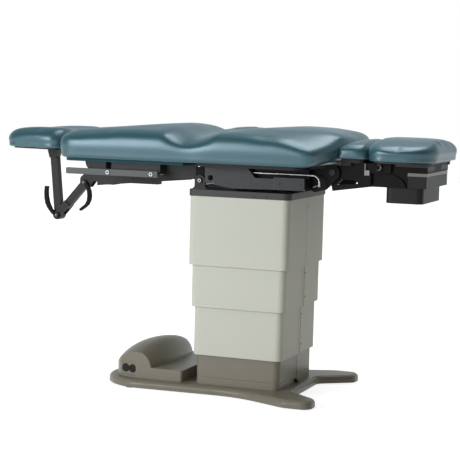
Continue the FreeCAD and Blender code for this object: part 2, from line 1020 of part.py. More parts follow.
def make_seat_frame():
    outer = S.member_half + S.member_thickness / 2
    inner = S.member_half - S.member_thickness / 2
    ear = S.pivot_ear
    member_outline = [
        (-S.ear_reach, S.back_pivot_height + S.back_ear),
        (-S.ear_reach, S.back_pivot_height - S.back_ear * 2),
        (-S.tilt_at - ear, S.tilt_height + ear),
        (-S.tilt_at - ear, S.tilt_height - ear),
        (-S.tilt_at + ear, S.tilt_height - ear),
        (S.frame_foot, S.frame_bottom + 4),
        (S.frame_foot, S.frame_top),
        (-S.seat_board_head, S.frame_top),
        (-S.back_pivot + S.back_ear, S.back_pivot_height + S.back_ear),
    ]
    member = prism(
        "seat_member",
        "side",
        member_outline,
        -outer,
        -inner,
        [([member_outline[3]], ear * 0.9)],
        bores=[
            (-S.tilt_at, S.tilt_height, S.tilt_pin_radius + S.pin_fit),
            (-S.back_pivot, S.back_pivot_height, S.back_pin_radius + S.pin_fit),
        ],
    )
    low = S.frame_top - S.cross_height
    crosses = []
    for name, place in (("head", -S.head_cross), ("middle", S.middle_cross), ("foot", S.foot_cross)):
        wall = S.cross_wall
        outline = rect(place, place + S.cross_depth, low, S.frame_top)
        bore = rect(place + wall, place + S.cross_depth - wall, low + wall, S.frame_top - wall)
        crosses.append(prism(f"{name}_cross", "side", outline, -inner, inner, [(outline, 4)], [bore]))
    reach = S.plate_face
    tall = S.bracket_height
    upper = S.side_plate_top - 6
    first = box("bracket_head", -S.side_plate_head + 6, -S.side_plate_head + 6 + S.bracket_length,
                -reach, -outer, upper - tall, upper)
    second = box("bracket_middle", S.rod_from - S.bracket_length, S.rod_from,
                 -reach, -outer, S.rod_height - tall / 2, S.rod_height + tall / 2)
    third = box("bracket_foot", S.side_plate_foot - S.bracket_length - 4, S.side_plate_foot - 4,
                -reach, -outer, S.side_plate_bottom + 10, S.side_plate_bottom + 10 + tall)
    cover = box("bracket_cover", S.cover_to - S.bracket_length * 2, S.cover_to - S.bracket_length,
                -S.cover_back, -outer, S.cover_bottom + 10, S.cover_bottom + 10 + tall)
    hinge_outer = S.hinge_inner + S.hinge_thick
    boss = box("boss", S.frame_foot - S.boss_length + 17, S.frame_foot,
               -inner, -hinge_outer, S.hinge_low_head + 4, S.frame_top)
    side = [member, first, second, third, cover, boss]
    far = [mirrored(f"{piece.Name}_far", piece) for piece in side]
    node("seat_frame", fuse("seat_frame", *side, *crosses, *far))


def make_side_plates():
    face = -S.plate_face
    outline = [
        (-S.side_plate_head, S.side_plate_heel),
        (-S.side_plate_low_from, S.side_plate_bottom),
        (S.side_plate_foot, S.side_plate_bottom + 4),
        (S.side_plate_foot, S.side_plate_step),
        (S.side_plate_notch + S.notch_slope, S.side_plate_step),
        (S.side_plate_notch, S.side_plate_top),
        (-S.side_plate_head, S.side_plate_top - 4),
    ]
    plate = prism(
        "seat_side_plate",
        "side",
        outline,
        face - S.side_plate_thick,
        face,
        [([outline[1]], 160), ([outline[4]], 10), ([outline[5]], 6)],
        bores=[(-S.plate_hole_at, S.plate_hole_height, S.plate_hole_radius)],
    )
    node("seat_side_plates", pair("seat_side_plates", plate))
    cover_outline = rect(S.cover_from, S.cover_to, S.cover_bottom, S.cover_top)
    cover = prism(
        "seat_end_cover", "side", cover_outline, -S.cover_face, -S.cover_back,
        [(cover_outline[2:4], 5)],
    )
    node("seat_end_covers", pair("seat_end_covers", cover))


def make_chrome_rods():
    """A bent round rod along each side: level, then an arc down behind the foot hinge."""
    x, z, y = S.rod_from.value, S.rod_height.value, -S.rod_face.value
    bend = S.rod_bend.value
    end = S.rod_end.value
    corner = Vector(end - bend, y, z - bend)
    half = 0.5 ** 0.5 * bend
    start = Vector(x, y, z)
    turn = Vector(end - bend, y, z)
    out = Vector(end, y, z - bend)
    path = Part.Wire([
        Part.LineSegment(start, turn).toShape(),
        Part.Arc(turn, corner + Vector(half, 0, half), out).toShape(),
        Part.LineSegment(out, Vector(end, y, S.rod_drop.value)).toShape(),
    ])
    section = Part.Wire([Part.makeCircle(S.rod_radius.value, start, Vector(1, 0, 0))])
    feature = doc.addObject("Part::Feature", "chrome_rod")
    feature.Shape = path.makePipeShell([section], True, False)
    node("chrome_rods", pair("chrome_rods", feature))


# Boards and cushions

def slanted_end(height, side, gap=0.5):
    """Where a cushion's slanted end lies at a height; side is -1 for the back and 1 for the seat."""
    return -S.back_pivot + ((size(height) - S.back_pivot_height) * S.back_lean + gap) * side


def make_boards():
    low = S.cushion_bottom - S.board_thick
    half = S.board_half
    seat = rect(-S.seat_board_head, S.seat_board_foot, -half, half)
    node("seat_board", prism("seat_board", "plan", seat, low, S.cushion_bottom, [(seat[1:3], 30)]))
    back = rect(-S.back_board_head, -S.back_board_foot, -half, half)
    node("back_board", prism("back_board", "plan", back, low, S.cushion_bottom, [([back[0], back[3]], 50)]))


def crowned_outline(half, bottom, edge, crown):
    """A section that is flat below and slopes up in two steps to the middle."""
    mid = (edge + size(crown) * 3) / 4
    return [
        (-half, bottom), (half, bottom), (half, edge), (half * 0.55, mid), (half * 0.2, crown),
        (-half * 0.2, crown), (-half * 0.55, mid), (-half, edge),
    ]


def crowned_hull(name, half, bottom, crown, stations):
    """Straight runs along X through crowned sections; stations holds (x, edge height)."""
    body = doc.addObject("PartDesign::Body", name)
    sections = []
    for number, (x, edge) in enumerate(stations):
        sketch = new_sketch(body, f"{name}_{number}", "end", x)
        draw(sketch, crowned_outline(half, bottom, edge, crown))
        sections.append(sketch)
    loft = body.newObject("PartDesign::AdditiveLoft", f"{name}_loft")
    loft.Profile = sections[0]
    loft.Sections = sections[1:]
    loft.Ruled = True
    doc.recompute()
    return body


def make_seat_cushion():
    bottom = S.cushion_bottom
    half = S.cushion_half
    profile = [
        (slanted_end(bottom, 1), bottom),
        (S.seat_flat_to, bottom),
        (S.seat_nose - 12, S.seat_nose_low),
        (S.seat_nose, S.seat_nose_low + 22),
        (S.seat_nose, S.seat_nose_high),
        (S.seat_nose - 30, S.seat_shoulder),
        (S.seat_crown_at + 110, S.seat_crown - 5),
        (S.seat_crown_at, S.seat_crown),
        (20, S.seat_crown - 12),
        (slanted_end(S.seat_crown - 34, 1), S.seat_crown - 34),
    ]
    rounds = [([profile[1]], 120), ([profile[4], profile[3]], 14), ([profile[9]], 18)]
    body = prism("seat_profile", "side", profile, -half, half, rounds)
    level = S.cushion_corner_high
    section = crowned_hull("seat_section", half, bottom, S.seat_crown + 1, [
        (-S.back_pivot - 20, level), (S.seat_edge_level_to, level),
        (S.seat_edge_bend_at, S.seat_edge_bend), (S.seat_nose + 20, S.seat_edge_foot),
    ])
    nose = rod(
        "seat_end_arc_drum", "z", S.seat_nose - S.seat_end_arc, 0, bottom - 5,
        S.seat_end_arc, S.seat_crown - bottom + 20,
    )
    node("seat_cushion", common("seat_cushion", body, section, nose))


def make_back_cushion():
    bottom = S.cushion_bottom
    half = S.cushion_half
    low = bottom
    profile = [
        (-S.back_end + 12, low),
        (slanted_end(low, -1), low),
        (slanted_end(S.back_crown - 14, -1), S.back_crown - 14),
        (slanted_end(S.back_crown, -1) - 22, S.back_crown),
        (-S.back_middle_at, S.back_middle_top),
        (-S.back_end_top_at, S.back_end_top),
        (-S.back_end, S.back_end_high),
        (-S.back_end, S.back_end_low),
    ]
    rounds = [([profile[3]], 14), ([profile[5], profile[6], profile[7]], 16)]
    body = prism("back_profile", "side", profile, -half, half, rounds)
    level = S.cushion_corner_high
    section = crowned_hull("back_section", half, low, S.back_crown + 1, [
        (-S.back_end - 20, S.back_edge_head), (-S.back_edge_level_at, level), (-S.back_pivot, level),
    ])
    plan_outline = rect(-S.back_end - 1, -S.back_pivot, -half, half)
    plan = prism(
        "back_plan", "plan", plan_outline, low - 5, S.back_crown + 10,
        [([plan_outline[0], plan_outline[3]], S.back_corner)],
    )
    node("back_cushion", common("back_cushion", body, section, plan))


def soft_pad(name, outline, rounds, bottom, top, edge_round):
    """A pad of a plan outline with its upper rim rounded and its lower rim eased."""
    pad = prism(name, "plan", outline, bottom, top, rounds)
    upper = [
        f"Edge{number}"
        for number, edge in enumerate(pad.Tip.Shape.Edges, 1)
        if all(abs(vertex.Point.z - size(top).value) < 0.01 for vertex in edge.Vertexes)
    ]
    round_edges(pad, f"{name}_rim", upper, edge_round)
    return pad


def make_headrest_cushion():
    outline = [
        (-S.head_outer, -S.head_outer_half),
        (-S.head_inner, -S.head_inner_half),
        (-S.head_inner, S.head_inner_half),
        (-S.head_outer, S.head_outer_half),
    ]
    rounds = [([outline[0], outline[3]], S.head_corner), ([outline[1], outline[2]], S.head_corner * 0.9)]
    pad = soft_pad("head_pad", outline, rounds, S.head_bottom, S.head_top, 26)
    dish = rod(
        "head_dish", "x", -S.head_outer + 60, 0, S.head_top + 600 - S.head_dish, 600,
        S.head_outer - S.head_inner - 60 + 20,
    )
    node("head_cushion", cut("head_cushion", pad, dish))
    inset = S.head_board_inset
    board = [
        (-S.head_outer + inset, -S.head_outer_half + inset),
        (-S.head_inner - inset, -S.head_inner_half + inset),
        (-S.head_inner - inset, S.head_inner_half - inset),
        (-S.head_outer + inset, S.head_outer_half - inset),
    ]
    low = S.head_bottom - S.head_board_thick
    node("head_board", prism("head_board", "plan", board, low, S.head_bottom, [(board, 40)]))


def make_calf_cushion():
    half = S.calf_half
    head = S.seat_nose - 60
    outline = rect(head, S.calf_foot, -half, half)
    rounds = [(outline[1:3], S.calf_corner)]
    pad = soft_pad("calf_pad", outline, rounds, S.calf_bottom, S.calf_top, S.calf_round)
    clear = rod(
        "calf_clear", "z", S.seat_nose - S.seat_end_arc, 0, S.calf_bottom - 5,
        S.seat_end_arc + S.calf_gap, S.calf_top - S.calf_bottom + 20,
    )
    node("calf_cushion", cut("calf_cushion", pad, clear))
    low = S.foot_plate_top
    board_outline = rect(S.seat_nose + 6, S.calf_foot - 16, -half + 24, half - 24)
    board = prism("calf_board", "plan", board_outline, low, S.calf_bottom, [(board_outline[1:3], 20)])
    node("calf_board", board)


def make_foot_cushion():
    half = S.foot_cushion_half
    outline = rect(S.foot_cushion_head, S.foot_cushion_foot, -half, half)
    rounds = [([outline[0], outline[3]], S.foot_corner), (outline[1:3], S.foot_end_corner)]
    pad = soft_pad("foot_pad", outline, rounds, S.foot_cushion_bottom, S.foot_cushion_top, S.foot_round)
    section = prism(
        "foot_section", "end",
        crowned_outline(half, S.foot_cushion_bottom, S.foot_cushion_edge, S.foot_cushion_top + 1),
        S.foot_cushion_head - 10, S.foot_cushion_foot + 10,
    )
    node("foot_cushion", common("foot_cushion", pad, section))
    board_outline = rect(S.foot_board_head, S.foot_board_foot, -S.foot_board_half, S.foot_board_half)
    rounds = [([board_outline[0], board_outline[3]], S.foot_corner - 16), (board_outline[1:3], S.foot_end_corner - 16)]
    board = prism("foot_board_sheet", "plan", board_outline, S.foot_board_bottom, S.foot_cushion_bottom, rounds)
    inner = S.bay_half + S.sheet_fit
    lip = box("foot_lip", S.foot_lip_from, S.foot_lip_to, -inner - S.foot_lip_thick, -inner,
              S.foot_lip_low, S.foot_board_bottom + 1)
    node("foot_board", fuse("foot_board", board, lip, mirrored("foot_lip_far", lip)))


# Back frame: side panels with the pivot, cross box, end box and ties

def make_back_pieces():
    low = S.cushion_bottom - S.board_thick
    pivot_x, pivot_z = -S.back_pivot, S.back_pivot_height
    ear = S.back_ear
    panel_outline = [
        (pivot_x + ear, pivot_z + ear),
        (pivot_x - ear - 3, pivot_z + ear),
        (pivot_x - ear - 20, low),
        (-S.cross_box_foot, low),
        (-S.cross_box_foot, S.panel_bottom),
        (pivot_x - 34, S.panel_bottom + 4),
        (pivot_x + ear, pivot_z - ear * 2),
    ]
    panel = prism(
        "back_side_panel",
        "side",
        panel_outline,
        -S.panel_outer,
        -S.panel_outer + S.panel_thick,
        [([panel_outline[0]], ear * 0.95), ([panel_outline[5]], 20)],
        bores=[(pivot_x, pivot_z, S.back_pin_radius)],
    )
    node("back_side_panels", pair("back_side_panels", panel))

    member_outer = S.member_half + S.member_thickness / 2
    pin_inner = S.panel_outer - S.panel_thick
    pin = rod("back_pin", "y", pivot_x, -member_outer - 2, pivot_z, S.back_pin_radius, member_outer + 2 - pin_inner)
    node("back_hinge_pins", pair("back_hinge_pins", pin))

    half = S.cross_box_half
    cross_outline = rect(-S.cross_box_head, -S.cross_box_foot, S.cross_box_bottom, low)
    cross = prism("back_cross_box", "side", cross_outline, -half, half, [(cross_outline[0:2], 5)])
    hollow = prism(
        "back_cross_hollow",
        "side",
        rect(-S.cross_box_head + 6, -S.cross_box_foot - 6, S.cross_box_bottom - 5, low - 6),
        -half + 6,
        half - 6,
    )
    cross = cut("back_cross_box_open", cross, hollow)

    end_outline = rect(-S.end_box_head, -S.end_box_foot, S.end_box_bottom, low)
    end = prism(
        "back_end_block", "side", end_outline, -S.end_box_half, S.end_box_half,
        [([end_outline[0]], S.end_box_arc)],
    )
    end_hollow = prism(
        "back_end_hollow",
        "side",
        rect(-S.end_box_head + S.end_box_arc, -S.end_box_foot - 6, S.end_box_bottom - 5, low - 6),
        -S.end_box_half + 6,
        S.end_box_half - 6,
    )
    end = cut("back_end_open", end, end_hollow)
    ties = box("back_tie_near", -S.end_box_foot - 2, -S.cross_box_head + 2,
               -S.tie_half - S.tie_thick, -S.tie_half, S.end_box_bottom + 4, low)
    node("back_frame", fuse("back_frame", cross, end, ties, mirrored("back_tie_far", ties)))

    standoffs = []
    for name, place in (("pivot", -S.rail_pivot), ("lock", -S.rail_lock)):
        reach = S.rail_inner - S.sheet_fit
        post = rod(f"standoff_{name}", "y", place, -reach, S.rail_center, S.standoff_radius, reach - half)
        if name == "pivot":
            bore = rod("standoff_bore", "y", place, -reach - 1, S.rail_center,
                       S.rail_bolt_radius + S.pin_fit, S.rail_bore_depth + 1)
            post = cut("standoff_bored", post, bore)
        standoffs.append(post)
    node("rail_standoffs", pair("rail_standoffs", group("standoffs_near", *standoffs)))


def make_rails():
    """An accessory rail for each side, with its pivot bolt and lock bolt."""
    for side, label in ((-1, "near"), (1, "far")):
        low, high = S.rail_inner, S.rail_inner + S.rail_thickness
        face, back = (-high, -low) if side < 0 else (high, low)
        z_low = S.rail_center - S.rail_height / 2
        z_high = S.rail_center + S.rail_height / 2
        outline = rect(-S.rail_head, -S.rail_foot, z_low, z_high)
        bolt = S.rail_bolt_radius
        rail = prism(
            f"rail_{label}",
            "side",
            outline,
            face,
            back,
            [(outline, 4)],
            bores=[(-S.rail_pivot, S.rail_center, bolt), (-S.rail_lock, S.rail_center, bolt)],
        )
        node(f"rail_{label}", rail)
        bolts = []
        for name, place, depth in (("pivot", -S.rail_pivot, S.rail_bore_depth - 1), ("lock", -S.rail_lock, 0)):
            length = S.rail_thickness + depth
            start = -high if side < 0 else low - depth
            shank = rod(f"{label}_{name}_shank", "y", place, start, S.rail_center, bolt, length)
            head_start = -high - S.rail_bolt_proud if side < 0 else high
            head = rod(f"{label}_{name}_head", "y", place, head_start, S.rail_center,
                       S.rail_bolt_head, S.rail_bolt_proud)
            bolts.append(fuse(f"{label}_{name}_bolt", shank, head))
        node(f"rail_{label}_bolts", group(f"rail_{label}_bolts", *bolts))


# Headrest support: tapered guide, sliding bar, knuckle, link, elbow, arm and two levers

def make_head_guide():
    cheek = [
        (-S.guide_foot, S.guide_low_foot),
        (-S.guide_foot, S.guide_top),
        (-S.guide_head, S.guide_top),
        (-S.guide_head, S.guide_low_head),
    ]
    near = prism("guide_cheek", "side", cheek, -S.guide_outer, -S.guide_inner)
    far = mirrored("guide_cheek_far", near)
    roof = box("guide_roof", -S.guide_head, -S.guide_foot, -S.guide_outer, S.guide_outer,
               S.guide_top - 8, S.guide_top)
    strap_top = S.head_bar_bottom - S.sheet_fit
    strap = box("guide_strap", -S.guide_strap_to, -S.guide_strap_from, -S.guide_outer, S.guide_outer,
                S.guide_low_head + 5, strap_top)
    node("head_guide", fuse("head_guide", near, far, roof, strap))


def make_head_linkage():
    """The sliding bar with its fork, the link, the arm and their pins."""
    half = S.head_bar_half
    knuckle = (-S.knuckle_at, S.knuckle_height)
    elbow = (-S.elbow_at, S.elbow_height)
    arm_top = (-S.arm_top_at, S.arm_top_height)
    fork_outer = S.fork_gap + S.fork_cheek

    bar_outline = rect(-S.head_bar_stop, -S.head_bar_from, S.head_bar_bottom, S.head_bar_top)
    bar = prism("head_slide", "side", bar_outline, -half, half)
    slide = cut("head_slide_cut", bar, rod(
        "knuckle_clear", "y", knuckle[0], -half - 1, knuckle[1], S.fork_radius + 6, half * 2 + 2,
    ))
    cheek_outline = [
        (-S.head_bar_stop + 6, S.head_bar_bottom),
        (-S.head_bar_stop + 6, S.head_bar_top),
        (-S.knuckle_at + 6, S.head_bar_top),
        (-S.knuckle_at - S.fork_radius, S.knuckle_height + S.fork_radius),
        (-S.knuckle_at - S.fork_radius, S.knuckle_height - S.fork_radius),
        (-S.knuckle_at + S.fork_radius, S.knuckle_height - S.fork_radius),
    ]
    cheek = prism(
        "fork_cheek", "side", cheek_outline, -half, -S.fork_gap,
        [(cheek_outline[3:5], S.fork_radius * 0.9)],
        bores=[(knuckle[0], knuckle[1], S.knuckle_pin)],
    )
    node("head_bar", fuse("head_bar", slide, cheek, mirrored("fork_cheek_far", cheek)))

    wide = S.link_half_wide
    deep = S.link_half_deep
    link_bar = prism(
        "link_tube", "side",
        bar_corners(along(knuckle, elbow, 6), along(elbow, knuckle, S.slot_reach), deep), -wide, wide,
    )
    link_eye = rod("link_eye", "y", knuckle[0], -wide, knuckle[1], S.tongue_radius, wide * 2)
    link_bore = rod("link_bore", "y", knuckle[0], -wide - 1, knuckle[1], S.knuckle_pin + S.pin_fit, wide * 2 + 2)
    elbow_cheek = prism(
        "elbow_cheek", "side",
        bar_corners(along(elbow, knuckle, S.slot_reach + 20), elbow, deep), -fork_outer, -S.fork_gap,
    )
    elbow_eye = rod("elbow_eye", "y", elbow[0], -fork_outer, elbow[1], S.tongue_radius, S.fork_cheek)
    elbow_side = fuse("elbow_side", elbow_cheek, elbow_eye)
    elbow_bore = rod("elbow_bore", "y", elbow[0], -fork_outer - 1, elbow[1], S.knuckle_pin, fork_outer * 2 + 2)
    solid = fuse("link_solid", link_bar, link_eye, elbow_side, mirrored("elbow_side_far", elbow_side))
    filler = prism(
        "link_root", "side",
        bar_corners(along(elbow, knuckle, S.slot_reach + 20), along(elbow, knuckle, S.slot_reach), deep),
        -fork_outer, fork_outer,
    )
    node("head_link", cut("head_link", fuse("link_whole", solid, filler), link_bore, elbow_bore))

    reach = half + S.pin_head_thick
    knuckle_shank = rod("knuckle_shank", "y", knuckle[0], -half, knuckle[1], S.knuckle_pin, half * 2)
    knuckle_cap = rod("knuckle_cap", "y", knuckle[0], half, knuckle[1], S.knuckle_head, S.pin_head_thick)
    node("knuckle_pin", fuse("knuckle_pin", knuckle_shank, knuckle_cap))

    arm_tube = prism(
        "arm_tube", "side",
        bar_corners(along(elbow, arm_top, 6), arm_top, deep), -wide, wide,
    )
    arm_eye = rod("arm_eye", "y", elbow[0], -wide, elbow[1], S.tongue_radius, wide * 2)
    arm_bore = rod("arm_bore", "y", elbow[0], -wide - 1, elbow[1], S.knuckle_pin + S.pin_fit, wide * 2 + 2)
    bracket_low = S.arm_top_height - 4
    board_low = S.head_bottom - S.head_board_thick
    bracket_outline = [
        (-S.arm_top_at - S.link_half_deep, bracket_low - 26),
        (-S.arm_top_at + S.link_half_deep, bracket_low - 26),
        (-S.arm_top_at + S.bracket_reach, board_low - S.bracket_thick),
        (-S.arm_top_at + S.bracket_reach, board_low),
        (-S.arm_top_at - S.bracket_reach, board_low),
        (-S.arm_top_at - S.bracket_reach, board_low - S.bracket_thick),
    ]
    web = prism("bracket_web", "side", bracket_outline, -wide - 4, wide + 4)
    flange = box("bracket_flange", -S.arm_top_at - S.bracket_reach, -S.arm_top_at + S.bracket_reach,
                 -S.bracket_half, S.bracket_half, board_low - S.bracket_thick, board_low)
    arm = fuse("arm_whole", arm_tube, arm_eye, web, flange)
    node("head_arm", cut("head_arm", arm, arm_bore))

    elbow_shank = rod("elbow_shank", "y", elbow[0], -fork_outer, elbow[1], S.knuckle_pin, fork_outer * 2)
    elbow_cap = rod("elbow_cap", "y", elbow[0], fork_outer, elbow[1], S.knuckle_head, S.pin_head_thick)
    node("elbow_pin", fuse("elbow_pin", elbow_shank, elbow_cap))


def lever(name, hub, bow, tip, inner):
    """A curved round lever with a flat hub, lying in a plane beside the tubes."""
    y = -(inner + S.lever_hub_thick / 2).value
    points = [Vector(size(x).value, y, size(z).value) for x, z in (hub, bow, tip)]
    path = Part.Wire([Part.Arc(*points).toShape()])
    start = path.Edges[0]
    direction = start.tangentAt(start.FirstParameter)
    section = Part.Wire([Part.makeCircle(S.lever_radius.value, points[0], direction)])
    handle = path.makePipeShell([section], True, False)
    tip_ball = Part.makeSphere(S.lever_radius.value, points[2])
    disc = Part.makeCylinder(
        S.lever_hub.value, S.lever_hub_thick.value,
        Vector(points[0].x, -inner.value, points[0].z), Vector(0, -1, 0),
    )
    feature = doc.addObject("Part::Feature", name)
    feature.Shape = disc.fuse([handle, tip_ball]).removeSplitter()
    node(name, feature)


def make_levers():
    lever(
        "knuckle_lever",
        (-S.knuckle_at, S.knuckle_height),
        (-S.knuckle_at + S.lever_bow, S.knuckle_height - S.lever_drop * 0.6),
        (-S.knuckle_at - 12, S.knuckle_height - S.lever_drop * 1.2),
        S.head_bar_half + S.sheet_fit,
    )
    lever(
        "elbow_lever",
        (-S.elbow_at, S.elbow_height),
        (-S.elbow_at - S.lever_tip, S.elbow_height + S.lever_drop * 0.5),
        (-S.elbow_at - S.lever_tip - 4, S.elbow_height + S.lever_drop * 1.2),
        S.fork_gap + S.fork_cheek + S.sheet_fit,
    )


# Foot section: hinge plates on the seat, frame, housing, drawer, tray and stirrups

def make_foot_hinge():
    inner = S.hinge_inner
    pivot_x, pivot_z = S.foot_pivot, S.foot_pivot_height
    lobe = S.hinge_lobe
    outline = [
        (S.hinge_head, S.frame_top),
        (S.hinge_head, S.hinge_low_head),
        (S.hinge_low_from, S.hinge_low),
        (S.hinge_low_to, S.hinge_low + 12),
        (pivot_x + lobe, pivot_z - lobe * 0.6),
        (pivot_x + lobe, pivot_z + lobe),
        (pivot_x - lobe, pivot_z + lobe * 0.6),
        (S.seat_flat_to + 10, S.frame_top + 6),
        (S.frame_foot, S.frame_top),
    ]
    plate = prism(
        "foot_hinge_plate", "side", outline, -inner - S.hinge_thick, -inner,
        [(outline[4:6], lobe * 0.7), (outline[2:4], 12)],
        bores=[(pivot_x, pivot_z, S.foot_pin_radius)],
    )
    node("foot_hinge_plates", pair("foot_hinge_plates", plate))
    pin_in = S.foot_plate_inner - 2
    pin_out = inner + S.hinge_thick
    pin = rod("foot_pin", "y", pivot_x, -pin_out, pivot_z, S.foot_pin_radius, pin_out - pin_in)
    cap = rod("foot_pin_cap", "y", pivot_x, -pin_out - 4, pivot_z, S.foot_pin_radius + 4, 4)
    node("foot_hinge_pins", pair("foot_hinge_pins", fuse("foot_pin_whole", pin, cap)))


def make_foot_frame():
    inner = S.foot_plate_inner
    outer = inner + S.foot_plate_thick
    pivot_x, pivot_z = S.foot_pivot, S.foot_pivot_height
    lobe = S.foot_lobe
    outline = [
        (pivot_x - lobe, pivot_z + lobe),
        (pivot_x - lobe, pivot_z - lobe),
        (S.stay_head, S.stay_low + 20),
        (S.stay_head + 4, S.stay_low),
        (S.stay_end_at, S.stay_end),
        (S.stay_foot, S.stay_foot_low),
        (S.stay_foot, S.arm_foot_low),
        (S.foot_plate_foot, S.arm_foot_low + 4),
        (S.foot_plate_foot, S.foot_plate_top),
        (pivot_x + 74, S.foot_plate_top),
        (pivot_x + lobe, pivot_z + lobe),
    ]
    slope = (S.stay_end - S.stay_low) / (S.stay_end_at - S.stay_head)
    stay_top_head = S.stay_low + slope * (S.window_head - S.stay_head) + S.stay_depth
    stay_top_foot = S.stay_low + slope * (S.window_foot - S.stay_head) + S.stay_depth - 4
    window = [
        (S.window_head, stay_top_head),
        (S.window_foot, stay_top_foot),
        (S.window_foot - 26, S.window_top),
        (S.window_head + 20, S.window_top),
    ]
    plate = prism(
        "foot_plate", "side", outline, -outer, -inner,
        [(outline[0:2], lobe * 0.9)],
        windows=[window],
        bores=[(pivot_x, pivot_z, S.foot_pin_radius + S.pin_fit)],
    )
    torque = rod("foot_torque_solid", "y", pivot_x, -inner, pivot_z, S.torque_radius, inner * 2)
    bore = rod("foot_torque_bore", "y", pivot_x, -inner - 1, pivot_z, S.foot_pin_radius + 4, inner * 2 + 2)
    cross = box("foot_cross", S.foot_cross_head, S.foot_cross_foot, -inner, inner,
                S.foot_cross_bottom, S.foot_cross_top)
    tube = cut("foot_torque", torque, bore)
    node("foot_frame", fuse("foot_frame", plate, mirrored("foot_plate_far", plate), tube, cross))


def make_foot_housing():
    half = S.bay_half
    wall = S.bay_wall
    shell = box("bay_shell", S.bay_head, S.bay_foot, -half, half, S.bay_bottom, S.bay_top)
    upper_room = box("bay_upper_room", S.bay_head + wall, S.bay_foot - wall, -half + wall, half - wall,
                     S.deck_bottom + S.deck_thick, S.bay_top - wall)
    lower_room = box("bay_lower_room", S.bay_head + wall, S.bay_foot + 1, -half + wall, half - wall,
                     S.bay_bottom - 1, S.deck_bottom)
    front_room = box("bay_front_room", S.bay_cheek_foot, S.bay_foot + 1, -half - 1, half + 1,
                     S.bay_bottom - 1, S.deck_bottom)
    openings = []
    for side, label in ((-1, "near"), (1, "far")):
        center = S.stirrup_center * side
        openings.append(box(
            f"bay_slot_{label}", S.bay_foot - wall - 1, S.bay_foot + 1,
            center - S.slot_half, center + S.slot_half, S.slot_low, S.slot_high,
        ))
        openings.append(box(
            f"bay_pass_{label}", S.bay_head - 1, S.bay_head + wall + 1,
            center - S.stirrup_bar_half - 1, center + S.stirrup_bar_half + 1,
            S.stirrup_bar_low - 1, S.stirrup_bar_high + 1,
        ))
    body = cut("bay_body", shell, upper_room, lower_room, front_room, *openings)
    moon_x = S.half_moon_at
    rise = S.half_moon_rise - S.half_moon_low
    run = S.half_moon_half
    radius = (run * run + rise * rise) / (rise * 2)
    disc = rod("half_moon_disc", "y", moon_x, -half - S.half_moon_thick, S.half_moon_rise - radius,
               radius, S.half_moon_thick)
    keep = box("half_moon_keep", moon_x - run, moon_x + run, -half - S.half_moon_thick, -half,
               S.half_moon_low, S.half_moon_rise + 1)
    moon = common("half_moon", disc, keep)
    node("foot_housing", fuse("foot_housing", body, moon, mirrored("half_moon_far", moon)))


def make_drawer():
    half = S.drawer_half
    wall = S.drawer_wall
    low = S.bay_bottom
    tray = box("drawer_box", S.drawer_head, S.drawer_front + 1, -half, half, low, S.drawer_top)
    front = box("drawer_front", S.drawer_front, S.drawer_foot, -S.bay_half, S.bay_half, low, S.drawer_top)
    tub_outline = rect(S.tub_head, S.tub_foot, -S.tub_near, S.tub_far)
    tub = prism("drawer_tub", "plan", tub_outline, S.tub_bottom, low + 1, [(tub_outline, S.tub_corner)])
    room = box("drawer_room", S.drawer_head + wall, S.drawer_foot - wall, -half + wall, half - wall,
               low + wall, S.drawer_top + 1)
    inset = S.tub_wall
    inner_outline = rect(S.tub_head + inset, S.tub_foot - inset, -S.tub_near + inset + 6, S.tub_far - inset)
    inner = prism("tub_room", "plan", inner_outline, S.tub_bottom + inset, low + wall + 1,
                  [(inner_outline, S.tub_corner - inset)])
    node("pan_drawer", cut("pan_drawer", fuse("drawer_solid", tray, front, tub), room, inner))

    clear = S.tray_clear
    gauge = S.tray_gauge
    room_head = S.drawer_head + wall + clear
    room_foot = S.drawer_foot - wall - clear
    room_half = half - wall - clear
    rim_low = S.drawer_top
    rim = box("tray_rim_box", S.drawer_head + 2, S.drawer_front + 1, -half, half, rim_low, S.tray_rim_top)
    rim_front = box("tray_rim_front", S.drawer_front, S.drawer_foot + 1, -S.bay_half, S.bay_half,
                    rim_low, S.tray_rim_top)
    basin = box("tray_basin", room_head, room_foot, -room_half, room_half, low + wall, rim_low + 1)
    inner_room = box("tray_room", room_head + gauge, room_foot - gauge, -room_half + gauge, room_half - gauge,
                     low + wall + gauge, S.tray_rim_top + 1)
    node("pan_tray", cut("pan_tray", fuse("tray_solid", rim, rim_front, basin), inner_room))


def make_stirrups():
    for side, label in ((-1, "near"), (1, "far")):
        center = S.stirrup_center * side
        half = S.stirrup_bar_half
        fit = S.slot_fit
        cap_start = S.bay_foot - S.bay_wall
        bar = box(f"stirrup_bar_{label}", S.stirrup_bar_head, cap_start + 1, center - half, center + half,
                  S.stirrup_bar_low, S.stirrup_bar_high)
        cap = box(f"stirrup_cap_{label}", cap_start, S.bay_foot, center - S.slot_half + fit,
                  center + S.slot_half - fit, S.slot_low + fit, S.slot_high - fit)
        node(f"stirrup_{label}", fuse(f"stirrup_{label}", bar, cap))
        low = S.stirrup_bar_high
        sheet_corners = rect(S.cup_head, S.cup_foot, center - S.cup_half, center + S.cup_half)
        cup = prism(f"cup_sheet_{label}", "plan", sheet_corners, low, low + S.cup_rise, [(sheet_corners, 20)])
        inner_corners = rect(
            S.cup_head + S.cup_thick, S.cup_foot - S.cup_thick,
            center - S.cup_half + S.cup_thick, center + S.cup_half - S.cup_thick,
        )
        hollow = prism(f"cup_hollow_{label}", "plan", inner_corners, low + S.cup_thick, low + S.cup_rise + 1,
                       [(inner_corners, 18)])
        node(f"heel_cup_{label}", cut(f"heel_cup_{label}", cup, hollow))


